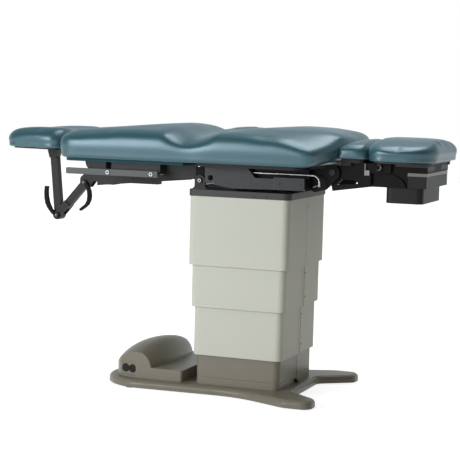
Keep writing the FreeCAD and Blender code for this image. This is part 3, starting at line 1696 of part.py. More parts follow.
def make_latches():
    face = S.foot_plate_inner + S.foot_plate_thick
    block = box("latch_block", S.latch_block_at, S.latch_block_at + S.latch_block, -face - 6, -face,
                S.latch_block_low, S.latch_block_low + S.latch_block)
    wire = rod("latch_wire", "z", S.latch_rod_at + 6, -face - S.latch_rod_radius,
               S.latch_block_low + S.latch_block - 1, S.latch_rod_radius,
               S.latch_rod_top - S.latch_block_low - S.latch_block + 1)
    knob = rod("latch_knob", "y", S.knob_at, -face - S.knob_proud, S.knob_height, S.knob_radius, S.knob_proud)
    near = group("latches_near", fuse("latch_hook", block, wire), knob)
    node("extension_latches", pair("extension_latches", near))


make_base_plate()
make_glides()
make_latch()
make_shrouds()
make_column()
make_top_plate()
make_housing()
make_seat_frame()
make_side_plates()
make_chrome_rods()
make_boards()
make_seat_cushion()
make_back_cushion()
make_back_pieces()
make_rails()
make_head_guide()
make_head_linkage()
make_levers()
make_headrest_cushion()
make_foot_hinge()
make_foot_frame()
make_foot_housing()
make_drawer()
make_stirrups()
make_latches()
make_calf_cushion()
make_foot_cushion()

doc.recompute()
for thing in doc.Objects:
    if "Invalid" in thing.State or "Error" in thing.State:
        raise RuntimeError(f"{thing.Name} failed: {thing.State}")
for name, piece in nodes.items():
    shape = piece.Shape
    if shape.isNull() or not shape.isValid() or not shape.Solids:
        raise RuntimeError(f"{name} has no sound solid")
for name, piece in nodes.items():
    piece.Shape.exportStep(os.path.join("parts", f"{name}.step"))
print(len(nodes), "nodes written")
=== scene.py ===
"""Looks for the procedure chair: camera, studio, upholstery, finishes and small fittings.

Metres, in the frame of the solids: X towards the foot end, Y across the chair, Z up. The near
side, which the photograph shows, is at negative Y.
"""
import json
import math

import bmesh
import bpy
from mathutils import Matrix, Vector


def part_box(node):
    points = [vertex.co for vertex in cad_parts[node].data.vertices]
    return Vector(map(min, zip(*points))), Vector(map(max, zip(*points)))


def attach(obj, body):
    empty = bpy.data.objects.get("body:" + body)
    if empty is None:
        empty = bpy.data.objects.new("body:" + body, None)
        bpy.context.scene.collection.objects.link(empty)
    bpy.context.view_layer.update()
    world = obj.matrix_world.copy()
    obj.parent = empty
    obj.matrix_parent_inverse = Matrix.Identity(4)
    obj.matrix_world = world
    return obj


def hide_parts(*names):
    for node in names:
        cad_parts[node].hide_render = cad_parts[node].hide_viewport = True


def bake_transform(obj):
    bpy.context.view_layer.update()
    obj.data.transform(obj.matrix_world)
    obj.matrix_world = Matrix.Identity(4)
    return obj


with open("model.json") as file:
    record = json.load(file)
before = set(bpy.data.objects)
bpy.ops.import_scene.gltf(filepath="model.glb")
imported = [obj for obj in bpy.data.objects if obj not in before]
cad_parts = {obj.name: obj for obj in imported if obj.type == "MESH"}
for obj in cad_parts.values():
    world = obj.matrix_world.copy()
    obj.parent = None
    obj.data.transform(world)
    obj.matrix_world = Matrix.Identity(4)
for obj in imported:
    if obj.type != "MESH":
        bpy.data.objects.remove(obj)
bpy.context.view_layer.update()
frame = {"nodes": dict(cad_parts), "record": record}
scene = bpy.context.scene
scene.view_settings.view_transform = "Standard"

NEAR, FAR = -1, 1
SIDES = (NEAR, FAR)
UP = Vector((0, 0, 1))
WHITE = (1, 1, 1, 1)

# Camera: angles in degrees, focal length and sensor in millimetres.
CAMERA_PLACE = (2.056, -5.670, 1.220)
CAMERA_YAW, CAMERA_PITCH, CAMERA_ROLL = 21.01, 5.46, 1.47
FOCAL_LENGTH, SENSOR_WIDTH = 116.36, 36
FAR_CLIP = 60

# Studio: the room's own light, the floor, and how far from the chair the floor turns white.
ROOM_COLOUR, ROOM_STRENGTH = (1.0, 0.965, 0.84, 1), 0.25
MIRRORED_COLOUR = (0.80, 0.87, 0.90, 1)
FLOOR_HALF_SIDE = 14
FLOOR_COLOUR, FLOOR_GLOW = (0.60, 0.61, 0.64, 1), (0.76, 0.76, 0.76, 1)
FLOOR_WHITE_FROM, FLOOR_WHITE_TO = 1.2, 4.0

# Finishes.
SHEEN_TINT = (0.45, 0.72, 1.0, 1)
EDGE_RADIUS = 0.0016
GRAIN_HEIGHT, BRUSHED_HEIGHT = 0.0006, 0.0003
BRUSHED_SCALE = 60.0

# Upholstery: the long cover's underside, and the level over which its waist is raised.
COVER_BOTTOM, RAISED_OVER = 0.9253, 0.93
# Heights over a cushion's lowest point: its rim, where the cloth is held, and the reach over
# which it is let go.
RIM_LEVEL = 0.014
HELD_LEVEL, HELD_REACH = 0.004, 0.012
# The share of a cushion's height where the bulge of its sides ends, and what fits its arc to it.
BULGE_TOP, BULGE_STRETCH = 0.87, 1.15
# The furthest that the cloth may move a cover, and its steps.
SWELL = 0.004
CLOTH_STEPS = 20

# Small fittings.
TIP = 0.00001  # radius at which a turned profile closes
SHARP_ANGLE = math.radians(35)
RAIL_BOLTS_X, RAIL_BOLTS_Z = (-0.540, -0.350), 0.871
STANDOFF_FACE = 0.294
TILT_BOLT_X, TILT_BOLT_Z = -0.164, 0.853
COVER_SCREWS_X, COVER_SCREWS_Z = (0.175, 0.262), 0.855
PLUGS_X, PLUGS_Z = (0.067, 0.117), 0.800
KNOB_X, KNOB_Z = 0.548, 0.932
GRIP_WIDTH = 0.0130

# The housing's slanted side, which carries the outlets: the ways it looks and runs.
OUTLET_OUT = Vector((-0.017, -0.088, 0)).normalized()
OUTLET_ALONG = Vector((-0.088, 0.017, 0)).normalized()
OUTLET_TURN = Matrix((-OUTLET_ALONG, -OUTLET_OUT, UP)).transposed().to_4x4()


# Node helpers

def feed(links, node, values):
    """Gives a node's inputs their values: numbers and colours, or the outputs that drive them."""
    for label, value in values.items():
        if isinstance(value, bpy.types.NodeSocket):
            links.new(value, node.inputs[label])
        else:
            node.inputs[label].default_value = value


def math_node(nodes, links, operation, *values, clamp=False):
    """A sum, product or the like of numbers and outputs."""
    node = nodes.new("ShaderNodeMath")
    node.operation = operation
    node.use_clamp = clamp
    feed(links, node, dict(enumerate(values)))
    return node.outputs[0]


def map_range(nodes, links, value, start, end, low=0.0, high=1.0, kind="SMOOTHSTEP"):
    """Goes from low to high while a value goes from start to end, and stays there."""
    node = nodes.new("ShaderNodeMapRange")
    node.interpolation_type = kind
    feed(links, node, {
        "Value": value, "From Min": start, "From Max": end, "To Min": low, "To Max": high})
    return node.outputs[0]


def mix_colours(nodes, links, factor, first, second):
    """The first colour where the factor is 0, the second where it is 1."""
    node = nodes.new("ShaderNodeMix")
    node.data_type = "RGBA"
    feed(links, node, {"Factor": factor, "A": first, "B": second})
    return node.outputs["Result"]


def noise(nodes, links, place, scale, detail, roughness=0.5):
    """A noise pattern, 0 to 1."""
    node = nodes.new("ShaderNodeTexNoise")
    feed(links, node, {
        "Vector": place, "Scale": scale, "Detail": detail, "Roughness": roughness})
    return node.outputs["Fac"]


def bump(nodes, links, height, distance, given):
    """A relief of the given height, over the normal and as strong as the group is told."""
    node = nodes.new("ShaderNodeBump")
    feed(links, node, {
        "Height": height, "Distance": distance, "Strength": given["Depth"],
        "Normal": given["Normal"]})
    return node.outputs["Normal"]


# Camera and studio

def rotation_towards(way):
    """The rotation that turns the Z axis to a direction."""
    return Vector(way).to_track_quat("Z", "Y").to_matrix().to_4x4()


def look_from_foot_end():
    """The photograph's view: from the near side, a little past the foot end."""
    yaw, pitch, roll = (math.radians(v) for v in (CAMERA_YAW, CAMERA_PITCH, CAMERA_ROLL))
    ahead = Vector((
        -math.sin(yaw) * math.cos(pitch), math.cos(yaw) * math.cos(pitch), -math.sin(pitch)))
    level = Vector((math.cos(yaw), math.sin(yaw), 0))
    above = level.cross(ahead)
    right = math.cos(roll) * level + math.sin(roll) * above
    up = math.cos(roll) * above - math.sin(roll) * level
    lens = bpy.data.cameras.new("camera")
    lens.lens = FOCAL_LENGTH
    lens.sensor_width = SENSOR_WIDTH
    lens.clip_end = FAR_CLIP
    camera = bpy.data.objects.new("camera", lens)
    turn = Matrix((right, up, -ahead)).transposed().to_4x4()
    camera.matrix_world = Matrix.Translation(CAMERA_PLACE) @ turn
    scene.collection.objects.link(camera)
    scene.camera = camera


def softbox(name, place, aim, width, height, power, colour):
    light = bpy.data.lights.new(name, "AREA")
    light.color = colour
    light.shape = "RECTANGLE"
    light.size = width
    light.size_y = height
    light.energy = power
    lamp = bpy.data.objects.new(name, light)
    lamp.visible_camera = False
    turn = rotation_towards(Vector(place) - Vector(aim))
    lamp.matrix_world = Matrix.Translation(place) @ turn
    scene.collection.objects.link(lamp)


def light_path_mask(nodes, links):
    """1 for camera, glossy and transmission rays, 0 for the rays that light the object."""
    path = nodes.new("ShaderNodeLightPath").outputs
    seen = math_node(
        nodes, links, "ADD", path["Is Camera Ray"], path["Is Glossy Ray"], clamp=True)
    return math_node(nodes, links, "ADD", seen, path["Is Transmission Ray"], clamp=True)


def dim_overhead(nodes, links):
    """The room as it is seen: white by the camera, and in the finishes a pale far horizon
    that dims overhead and towards the near side."""
    way = nodes.new("ShaderNodeTexCoord")
    split = nodes.new("ShaderNodeSeparateXYZ")
    links.new(way.outputs["Generated"], split.inputs[0])
    falls = [
        map_range(nodes, links, split.outputs[axis], bright, dim, 1.0, least)
        for axis, bright, dim, least in (("Z", 0.10, 0.60, 0.42), ("Y", 0.25, -0.35, 0.18))]
    both = math_node(nodes, links, "MULTIPLY", *falls)
    tone = mix_colours(nodes, links, both, (0, 0, 0, 1), MIRRORED_COLOUR)
    path = nodes.new("ShaderNodeLightPath").outputs
    return mix_colours(nodes, links, path["Is Camera Ray"], tone, WHITE)


def white_room():
    world = bpy.data.worlds.new("room")
    world.use_nodes = True
    scene.world = world
    nodes, links = world.node_tree.nodes, world.node_tree.links
    nodes.clear()
    lit = nodes.new("ShaderNodeBackground")
    feed(links, lit, {"Color": ROOM_COLOUR, "Strength": ROOM_STRENGTH})
    seen = nodes.new("ShaderNodeBackground")
    feed(links, seen, {"Color": dim_overhead(nodes, links), "Strength": 1.0})
    pick = nodes.new("ShaderNodeMixShader")
    feed(links, pick, {
        "Fac": light_path_mask(nodes, links), 1: lit.outputs[0], 2: seen.outputs[0]})
    feed(links, nodes.new("ShaderNodeOutputWorld"), {"Surface": pick.outputs[0]})


def add_piece(bm, name):
    """Turns a bmesh into an object of the scene."""
    mesh = bpy.data.meshes.new(name)
    bm.to_mesh(mesh)
    bm.free()
    piece = bpy.data.objects.new(name, mesh)
    scene.collection.objects.link(piece)
    return piece


def pale_floor():
    """A floor that takes soft shadows near the chair and is white further off."""
    bm = bmesh.new()
    bmesh.ops.create_grid(bm, x_segments=2, y_segments=2, size=FLOOR_HALF_SIDE)
    floor = add_piece(bm, "floor")
    material = bpy.data.materials.new("floor_paper")
    material.use_nodes = True
    nodes, links = material.node_tree.nodes, material.node_tree.links
    nodes.clear()
    paper = nodes.new("ShaderNodeBsdfDiffuse")
    feed(links, paper, {"Color": FLOOR_COLOUR})
    place = nodes.new("ShaderNodeTexCoord")
    reach = nodes.new("ShaderNodeVectorMath")
    reach.operation = "LENGTH"
    links.new(place.outputs["Object"], reach.inputs[0])
    whiter = map_range(nodes, links, reach.outputs["Value"], FLOOR_WHITE_FROM, FLOOR_WHITE_TO)
    glow = nodes.new("ShaderNodeEmission")
    feed(links, glow, {
        "Strength": light_path_mask(nodes, links),
        "Color": mix_colours(nodes, links, whiter, FLOOR_GLOW, WHITE)})
    both = nodes.new("ShaderNodeAddShader")
    feed(links, both, {0: paper.outputs[0], 1: glow.outputs[0]})
    feed(links, nodes.new("ShaderNodeOutputMaterial"), {"Surface": both.outputs[0]})
    floor.data.materials.append(material)


# Shared effects

def start_group(name, inputs, outputs):
    """A node group with its inputs' outputs, its output node, its nodes and its links."""
    tree = bpy.data.node_groups.new(name, "ShaderNodeTree")
    for label, kind, value in inputs:
        socket = tree.interface.new_socket(label, in_out="INPUT", socket_type=kind)
        if value is not None:
            socket.default_value = value
    for label, kind in outputs:
        tree.interface.new_socket(label, in_out="OUTPUT", socket_type=kind)
    given = tree.nodes.new("NodeGroupInput").outputs
    return tree, given, tree.nodes.new("NodeGroupOutput"), tree.nodes, tree.links


def object_place(nodes, links, stretch):
    """Object coordinates, stretched along an axis where the pattern runs in lines."""
    place = nodes.new("ShaderNodeTexCoord")
    turn = nodes.new("ShaderNodeMapping")
    feed(links, turn, {"Scale": stretch, "Vector": place.outputs["Object"]})
    return turn.outputs["Vector"]


def make_grain_group():
    """The normal of a moulded or rolled pebble grain."""
    tree, given, result, nodes, links = start_group(
        "pebble_grain",
        [("Vector", "NodeSocketVector", None), ("Scale", "NodeSocketFloat", 300.0),
         ("Depth", "NodeSocketFloat", 0.2), ("Normal", "NodeSocketVector", None)],
        [("Normal", "NodeSocketVector")])
    cells = nodes.new("ShaderNodeTexVoronoi")
    cells.feature = "SMOOTH_F1"
    feed(links, cells, {"Vector": given["Vector"], "Scale": given["Scale"]})
    finer = math_node(nodes, links, "MULTIPLY", given["Scale"], 2.3)
    fine = noise(nodes, links, given["Vector"], finer, 5)
    height = math_node(nodes, links, "ADD", cells.outputs["Distance"], fine)
    feed(links, result, {"Normal": bump(nodes, links, height, GRAIN_HEIGHT, given)})
    return tree


def make_brushed_group():
    """The normal of long fine scratches along the stretched direction."""
    tree, given, result, nodes, links = start_group(
        "brushed_lines",
        [("Vector", "NodeSocketVector", None), ("Scale", "NodeSocketFloat", 90.0),
         ("Depth", "NodeSocketFloat", 0.12), ("Normal", "NodeSocketVector", None)],
        [("Normal", "NodeSocketVector")])
    lines = noise(nodes, links, given["Vector"], given["Scale"], 6, roughness=0.7)
    feed(links, result, {"Normal": bump(nodes, links, lines, BRUSHED_HEIGHT, given)})
    return tree


def make_tone_group():
    """Slow changes of tone and gloss over a surface, as handling and cleaning leave."""
    tree, given, result, nodes, links = start_group(
        "slow_tone",
        [("Vector", "NodeSocketVector", None), ("Color", "NodeSocketColor", (0.5, 0.5, 0.5, 1)),
         ("Change", "NodeSocketFloat", 0.08), ("Scale", "NodeSocketFloat", 4.0),
         ("Roughness", "NodeSocketFloat", 0.4), ("Roughness Change", "NodeSocketFloat", 0.05)],
        [("Color", "NodeSocketColor"), ("Roughness", "NodeSocketFloat")])
    broad = noise(nodes, links, given["Vector"], given["Scale"], 4, roughness=0.6)
    centred = math_node(nodes, links, "SUBTRACT", broad, 0.5)
    tint = nodes.new("ShaderNodeVectorMath")
    tint.operation = "SCALE"
    feed(links, tint, {
        0: given["Color"],
        "Scale": math_node(nodes, links, "MULTIPLY_ADD", centred, given["Change"], 1.0)})
    rough = math_node(
        nodes, links, "MULTIPLY_ADD", centred, given["Roughness Change"], given["Roughness"])
    feed(links, result, {"Color": tint.outputs[0], "Roughness": rough})
    return tree


def make_edge_group():
    """Rounded-edge normal, and a mask that is highest on outer edges: partly wear, partly a
    painted highlight where edges catch light.
    """
    tree, given, result, nodes, links = start_group(
        "soft_edges",
        [("Vector", "NodeSocketVector", None), ("Wear And Glint", "NodeSocketFloat", 0.5)],
        [("Normal", "NodeSocketVector"), ("Mask", "NodeSocketFloat")])
    rounded = nodes.new("ShaderNodeBevel")
    rounded.samples = 4
    feed(links, rounded, {"Radius": EDGE_RADIUS})
    flat = nodes.new("ShaderNodeNewGeometry")
    agree = nodes.new("ShaderNodeVectorMath")
    agree.operation = "DOT_PRODUCT"
    feed(links, agree, {0: rounded.outputs["Normal"], 1: flat.outputs["Normal"]})
    edge = map_range(nodes, links, agree.outputs["Value"], 0.985, 0.93, kind="LINEAR")
    patchy = noise(nodes, links, given["Vector"], 60, 4)
    rubbed_and_lit_edge = math_node(nodes, links, "MULTIPLY", edge, patchy)
    feed(links, result, {
        "Normal": rounded.outputs["Normal"],
        "Mask": math_node(nodes, links, "MULTIPLY", rubbed_and_lit_edge, given["Wear And Glint"])})
    return tree


# Finishes

def linear(red, green, blue):
    """A colour read from a picture, 0 to 255, as the shader takes it."""
    return tuple(
        (v / 255 / 12.92 if v <= 10 else ((v / 255 + 0.055) / 1.055) ** 2.4)
        for v in (red, green, blue)) + (1,)


def add_effect(nodes, links, effect, values):
    """Adds one of the shared groups and returns its outputs."""
    node = nodes.new("ShaderNodeGroup")
    node.node_tree = effect
    feed(links, node, values)
    return node.outputs


def grained_finish(
        name, colour, roughness, change=0.08, scale=4.0, gloss_change=0.08, grain=0.0,
        grain_scale=400.0, edge_wear_and_glint=0.0, rubbed_and_lit_edge=(0.4, 0.4, 0.4, 1), stretch=(1, 1, 1), metallic=0.0,
        sheen=0.0, specular=0.5, mirror_tint=WHITE, rounded=True, brushed=0.0):
    """A finish from the shared effects; grain, edge wear with its painted highlight, and brushing
    are left out where they are 0.
    """
    material = bpy.data.materials.new(name)
    material.use_nodes = True
    nodes, links = material.node_tree.nodes, material.node_tree.links
    place = object_place(nodes, links, stretch)
    tone = add_effect(nodes, links, slow_tone, {
        "Vector": place, "Color": colour, "Change": change, "Scale": scale,
        "Roughness": roughness, "Roughness Change": gloss_change})
    tint = tone["Color"]
    normal = None
    if rounded:
        edges = add_effect(nodes, links, soft_edges, {"Vector": place, "Wear And Glint": edge_wear_and_glint})
        normal = edges["Normal"]
        # Lighter colour on outer edges: partly wear, partly a painted highlight where edges catch
        # light.
        if edge_wear_and_glint:
            tint = mix_colours(nodes, links, edges["Mask"], tint, rubbed_and_lit_edge)
    for effect, depth, size in (
            (pebble_grain, grain, grain_scale), (brushed_lines, brushed, BRUSHED_SCALE)):
        if depth:
            values = {"Vector": place, "Scale": size, "Depth": depth}
            if normal:
                values["Normal"] = normal
            normal = add_effect(nodes, links, effect, values)["Normal"]
    shader = nodes["Principled BSDF"]
    feed(links, shader, {
        "Base Color": tint, "Roughness": tone["Roughness"], "Metallic": metallic,
        "Sheen Weight": sheen, "Sheen Tint": SHEEN_TINT, "Specular IOR Level": specular,
        "Specular Tint": mirror_tint})
    if normal:
        links.new(normal, shader.inputs["Normal"])
    return material


def make_finishes():
    # The lighter edge colours below are partly wear, partly a painted highlight on edges that
    # catch light.
    bare_and_lit_metal_edge = linear(150, 150, 150)
    return {
        "upholstery": grained_finish(
            "satin_vinyl", linear(43, 81, 88), 0.34, change=0.10, scale=3.0, gloss_change=0.06,
            grain=0.12, grain_scale=420, sheen=0.10, specular=1.0,
            mirror_tint=(0.72, 0.88, 1.0, 1), rounded=False),
        "vinyl_edge": grained_finish(
            "wrapped_edge", linear(36, 72, 78), 0.7, change=0.15, scale=6.0, grain=0.2,
            grain_scale=420, specular=0.15, rounded=False),
        "shroud_plastic": grained_finish(
            "cream_plastic", linear(213, 213, 200), 0.45, change=0.03, scale=2.0, grain=0.10,
            grain_scale=700, edge_wear_and_glint=0.15, rubbed_and_lit_edge=linear(232, 232, 222), specular=0.18),
        "base_plastic": grained_finish(
            "warm_grey_plastic", linear(133, 127, 113), 0.34, change=0.07, scale=5.0, grain=0.14,
            grain_scale=600, edge_wear_and_glint=0.3, rubbed_and_lit_edge=linear(175, 168, 154), specular=0.3),
        "base_paint": grained_finish(
            "warm_grey_paint", linear(126, 120, 106), 0.34, change=0.08, scale=4.0, grain=0.10,
            grain_scale=350, edge_wear_and_glint=0.4, rubbed_and_lit_edge=linear(176, 170, 156), specular=0.32),
        "plate_paint": grained_finish(
            "dark_plate_paint", linear(64, 62, 61), 0.5, change=0.12, scale=8.0, grain=0.3,
            grain_scale=500, edge_wear_and_glint=0.4, rubbed_and_lit_edge=bare_and_lit_metal_edge, specular=0.3),
        "black_steel": grained_finish(
            "black_powder_coat", linear(26, 24, 23), 0.48, change=0.2, scale=9.0, grain=0.3,
            grain_scale=800, edge_wear_and_glint=0.5, rubbed_and_lit_edge=linear(110, 108, 106), specular=0.26),
        "grey_steel": grained_finish(
            "hammered_grey_coat", linear(54, 54, 56), 0.42, change=0.35, scale=160.0, grain=1.0,
            grain_scale=210, edge_wear_and_glint=0.4, rubbed_and_lit_edge=bare_and_lit_metal_edge, specular=0.25),
        # Painted shade: a darker copy of the black coat for the frame under the cushions, where
        # their shade falls; the lever grips and knob caps use it too.
        "shade_darkened_black": grained_finish(
            "shade_darkened_black_coat", linear(18, 15, 14), 0.55, change=0.25, scale=9.0, grain=0.3,
            grain_scale=800, edge_wear_and_glint=0.4, rubbed_and_lit_edge=linear(90, 88, 86), specular=0.12),
        "tube_steel": grained_finish(
            "ground_tube", linear(150, 150, 152), 0.3, change=0.1, scale=5.0, metallic=1.0,
            stretch=(8, 8, 0.4), brushed=0.3),
        "rail_steel": grained_finish(
            "rail_coat", linear(84, 85, 84), 0.45, change=0.12, scale=6.0, stretch=(0.3, 6, 6),
            brushed=0.35, edge_wear_and_glint=0.5, rubbed_and_lit_edge=bare_and_lit_metal_edge, specular=0.3),
        "bright_steel": grained_finish(
            "bright_plate", linear(160, 160, 162), 0.22, change=0.06, scale=20.0, metallic=1.0,
            brushed=0.05),
        "stainless": grained_finish(
            "brushed_sheet", linear(104, 102, 94), 0.4, change=0.1, scale=6.0, metallic=1.0,
            stretch=(0.4, 7, 7), brushed=0.3),
        "board": grained_finish(
            "painted_ply", linear(28, 25, 24), 0.6, change=0.3, scale=6.0, stretch=(0.5, 5, 5),
            brushed=0.6, edge_wear_and_glint=0.3, rubbed_and_lit_edge=linear(80, 66, 52), specular=0.3),
        "black_plastic": grained_finish(
            "black_plastic", linear(38, 37, 37), 0.38, change=0.15, scale=12.0, grain=0.25,
            grain_scale=700, specular=0.4),
        "grey_plastic": grained_finish(
            "dark_tub_plastic", linear(47, 44, 43), 0.42, change=0.12, scale=7.0, grain=0.3,
            grain_scale=600, edge_wear_and_glint=0.3, rubbed_and_lit_edge=linear(84, 80, 76), specular=0.12),
        "rubber": grained_finish(
            "black_rubber", linear(30, 30, 30), 0.7, change=0.3, scale=20.0, grain=0.5,
            grain_scale=300),
        "slot_black": grained_finish(
            "outlet_black", linear(24, 24, 25), 0.4, change=0.2, scale=40.0, specular=0.2),
        # Near white: partly the zinc plating, partly a painted glint on the bolt heads and rings.
        "zinc_with_painted_glint": grained_finish(
            "zinc_bolt_with_painted_glint", linear(212, 212, 210), 0.45, change=0.08, scale=30.0, metallic=0.25,
            brushed=0.1),
        "latch_parts": grained_finish(
            "latch_plate", linear(120, 120, 120), 0.42, change=0.1, scale=30.0, metallic=0.7,
            brushed=0.1),
    }


# Nodes whose finish isn't their slot's usual one.
OWN_FINISH = {
    "tilt_bolts": "black_steel",
    "foot_hinge_pins": "black_steel",
    "knuckle_pin": "black_steel",
    "elbow_pin": "black_steel",
    "extension_latches": "latch_parts",
    # The rail bolts take the near-white finish: partly zinc, partly a painted glint.
    "rail_near_bolts": "zinc_with_painted_glint",
    "rail_far_bolts": "zinc_with_painted_glint",
    "back_board": "vinyl_edge",
    # The frame parts under the cushions take the darker black, which paints the cushions' shade on
    # them.
    "seat_frame": "shade_darkened_black",
    "foot_frame": "shade_darkened_black",
    "foot_housing": "shade_darkened_black",
    "foot_hinge_plates": "shade_darkened_black",
    "power_outlets": "slot_black",
}


def dress_the_frame():
    for row in frame["record"]["subparts"]:
        piece = frame["nodes"][row["node"]]
        for place in piece.material_slots:
            place.material = finishes[OWN_FINISH.get(row["node"], row["material_slot"])]


# Upholstery

def merged_copy(bm, node):
    """Adds a CAD solid's form to a mesh, with its loose triangles joined."""
    bm.from_mesh(frame["nodes"][node].data)
    bmesh.ops.remove_doubles(bm, verts=bm.verts, dist=0.00002)


def waist_filler(bm):
    """The low part of the cover that carries on over the back hinge, under the dip."""
    dip = [
        (-0.300, 1.030), (-0.275, 1.0225), (-0.250, 1.013), (-0.228, 1.003), (-0.208, 0.996),
        (-0.190, 0.9915), (-0.179, 0.9905), (-0.165, 0.992), (-0.145, 0.9965), (-0.122, 1.004),
        (-0.098, 1.013), (-0.075, 1.0225), (-0.055, 1.030)]
    outline = [(dip[0][0], COVER_BOTTOM)] + dip + [(dip[-1][0], COVER_BOTTOM)]
    rise = [
        (-0.3455, 0), (-0.32, 0.010), (-0.28, 0.022), (-0.20, 0.033), (0, 0.038), (0.20, 0.033),
        (0.28, 0.022), (0.32, 0.010), (0.3455, 0)]
    face = bm.faces.new([bm.verts.new((x, rise[0][0], z)) for x, z in outline])
    for (before, low), (after, high) in zip(rise, rise[1:]):
        swept = bmesh.ops.extrude_face_region(bm, geom=[face])["geom"]
        moved = [v for v in swept if isinstance(v, bmesh.types.BMVert)]
        face = next(f for f in swept if isinstance(f, bmesh.types.BMFace))
        bmesh.ops.translate(bm, verts=moved, vec=(0, after - before, 0))
        crest = [v for v in moved if v.co.z > RAISED_OVER]
        bmesh.ops.translate(bm, verts=crest, vec=(0, 0, high - low))


def level_range(piece):
    """The lowest and highest level of a piece."""
    levels = [v.co.z for v in piece.data.vertices]
    return min(levels), max(levels)


def let_fall(piece, whole, sides, end_from, end_to, end):
    """Lowers a cushion's upper face: all of it, towards its two sides, and towards one end."""
    low = level_range(piece)[0]
    half = max(v.co.y for v in piece.data.vertices)
    for v in piece.data.vertices:
        across = min(1, abs(v.co.y) / half) ** 3
        along = min(1, max(0, (v.co.x - end_from) / (end_to - end_from))) ** 2
        v.co.z = low + (v.co.z - low) * (1 - whole - sides * across - end * along)


def ease(piece, rounds, above=-math.inf):
    """Smooths the part of a cushion that lies above a level, round after round."""
    bm = bmesh.new()
    bm.from_mesh(piece.data)
    free = [v for v in bm.verts if v.co.z > above]
    for _ in range(rounds):
        bmesh.ops.smooth_vert(
            bm, verts=free, factor=0.5, use_axis_x=True, use_axis_y=True, use_axis_z=True)
    bm.to_mesh(piece.data)
    bm.free()


def fill_sides(piece, belly):
    """Pushes the sides out at mid height, as tight foam does."""
    low, high = level_range(piece)
    out = [v.normal.copy() for v in piece.data.vertices]
    for v, normal in zip(piece.data.vertices, out):
        share = (v.co.z - low) / (high - low)
        if share < BULGE_TOP:
            bulge = math.sin(math.pi * min(1, share * BULGE_STRETCH)) ** 2
            v.co += Vector((normal.x, normal.y, 0)) * belly * bulge


def run_cloth(piece):
    """The cover held out by its foam: cloth under light pressure, without gravity."""
    cloth = piece.modifiers.new("cover", "CLOTH")
    fabric = cloth.settings
    fabric.quality = 4
    fabric.mass = 0.4
    fabric.tension_stiffness = fabric.compression_stiffness = 30
    fabric.shear_stiffness = 18
    fabric.bending_stiffness = 2.0
    fabric.use_pressure = True
    fabric.uniform_pressure_force = 4.0
    fabric.effector_weights.gravity = 0.0
    cloth.point_cache.frame_start = 1
    cloth.point_cache.frame_end = CLOTH_STEPS
    for step in range(1, CLOTH_STEPS + 1):
        scene.frame_set(step)
    bpy.ops.object.modifier_apply(modifier=cloth.name)
    scene.frame_set(1)


def puff(piece, bottom):
    """Runs the cloth, and lets it move the cover by no more than SWELL and not at its bottom."""
    rest = [v.co.copy() for v in piece.data.vertices]
    run_cloth(piece)
    for v, start in zip(piece.data.vertices, rest):
        push = v.co - start
        if push.length > SWELL:
            push *= SWELL / push.length
        hold = min(1.0, max(0.0, (start.z - bottom - HELD_LEVEL) / HELD_REACH))
        v.co = start + push * hold
    ease(piece, 2, bottom + HELD_LEVEL)


def finish_cushion(bm, name, voxel, soft, belly, fall=None):
    """Rebuilds a cushion's form with soft rims and full sides, puffs it, and returns the piece."""
    bmesh.ops.recalc_face_normals(bm, faces=bm.faces)
    piece = add_piece(bm, name)
    bpy.context.view_layer.objects.active = piece
    for other in bpy.context.selected_objects:
        other.select_set(False)
    piece.select_set(True)
    rebuilt = piece.modifiers.new("rebuilt", "REMESH")
    rebuilt.mode = "VOXEL"
    rebuilt.voxel_size = voxel
    bpy.ops.object.modifier_apply(modifier=rebuilt.name)
    if fall:
        let_fall(piece, **fall)
    bottom = level_range(piece)[0]
    ease(piece, 3)
    ease(piece, soft, bottom + RIM_LEVEL)
    fill_sides(piece, belly)
    puff(piece, bottom)
    smooth = piece.modifiers.new("smooth", "SUBSURF")
    smooth.levels = smooth.render_levels = 1
    bpy.ops.object.modifier_apply(modifier=smooth.name)
    piece.data.shade_smooth()
    piece.data.materials.clear()
    piece.data.materials.append(finishes["upholstery"])
    return piece


def make_long_cover():
    """One cover over back and seat, with a dip where it passes over the back hinge."""
    bm = bmesh.new()
    merged_copy(bm, "back_cushion")
    merged_copy(bm, "seat_cushion")
    waist_filler(bm)
    cover = finish_cushion(bm, "back_and_seat_cover", voxel=0.0095, soft=14, belly=0.008)
    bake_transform(cover)
    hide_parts("back_cushion", "seat_cushion")


def make_small_cushions():
    head_fall = {"whole": 0, "sides": 0.04, "end_from": -0.90, "end_to": -1.064, "end": 0.20}
    calf_fall = {"whole": 0, "sides": 0.24, "end_from": 0.46, "end_to": 0.40, "end": 0.06}
    foot_fall = {"whole": 0.06, "sides": 0.12, "end_from": 0.66, "end_to": 0.77, "end": 0.08}
    for node, body, name, soft, belly, fall in (
            ("head_cushion", "head_arm", "headrest_cover", 34, 0.007, head_fall),
            ("calf_cushion", "foot", "calf_cover", 26, 0.004, calf_fall),
            ("foot_cushion", "foot_ext", "foot_cover", 34, 0.007, foot_fall)):
        bm = bmesh.new()
        merged_copy(bm, node)
        cover = finish_cushion(bm, name, voxel=0.0058, soft=soft, belly=belly, fall=fall)
        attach(cover, body)
        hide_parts(node)


# Small fittings

def finished(bm, name, body, finish, smooth=True):
    """Turns a bmesh into a piece that rides on a body."""
    bmesh.ops.remove_doubles(bm, verts=bm.verts, dist=0.00001)
    bmesh.ops.recalc_face_normals(bm, faces=bm.faces)
    piece = add_piece(bm, name)
    if smooth:
        piece.data.shade_smooth()
        piece.data.set_sharp_from_angle(angle=SHARP_ANGLE)
    piece.data.materials.append(finishes[finish])
    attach(piece, body)


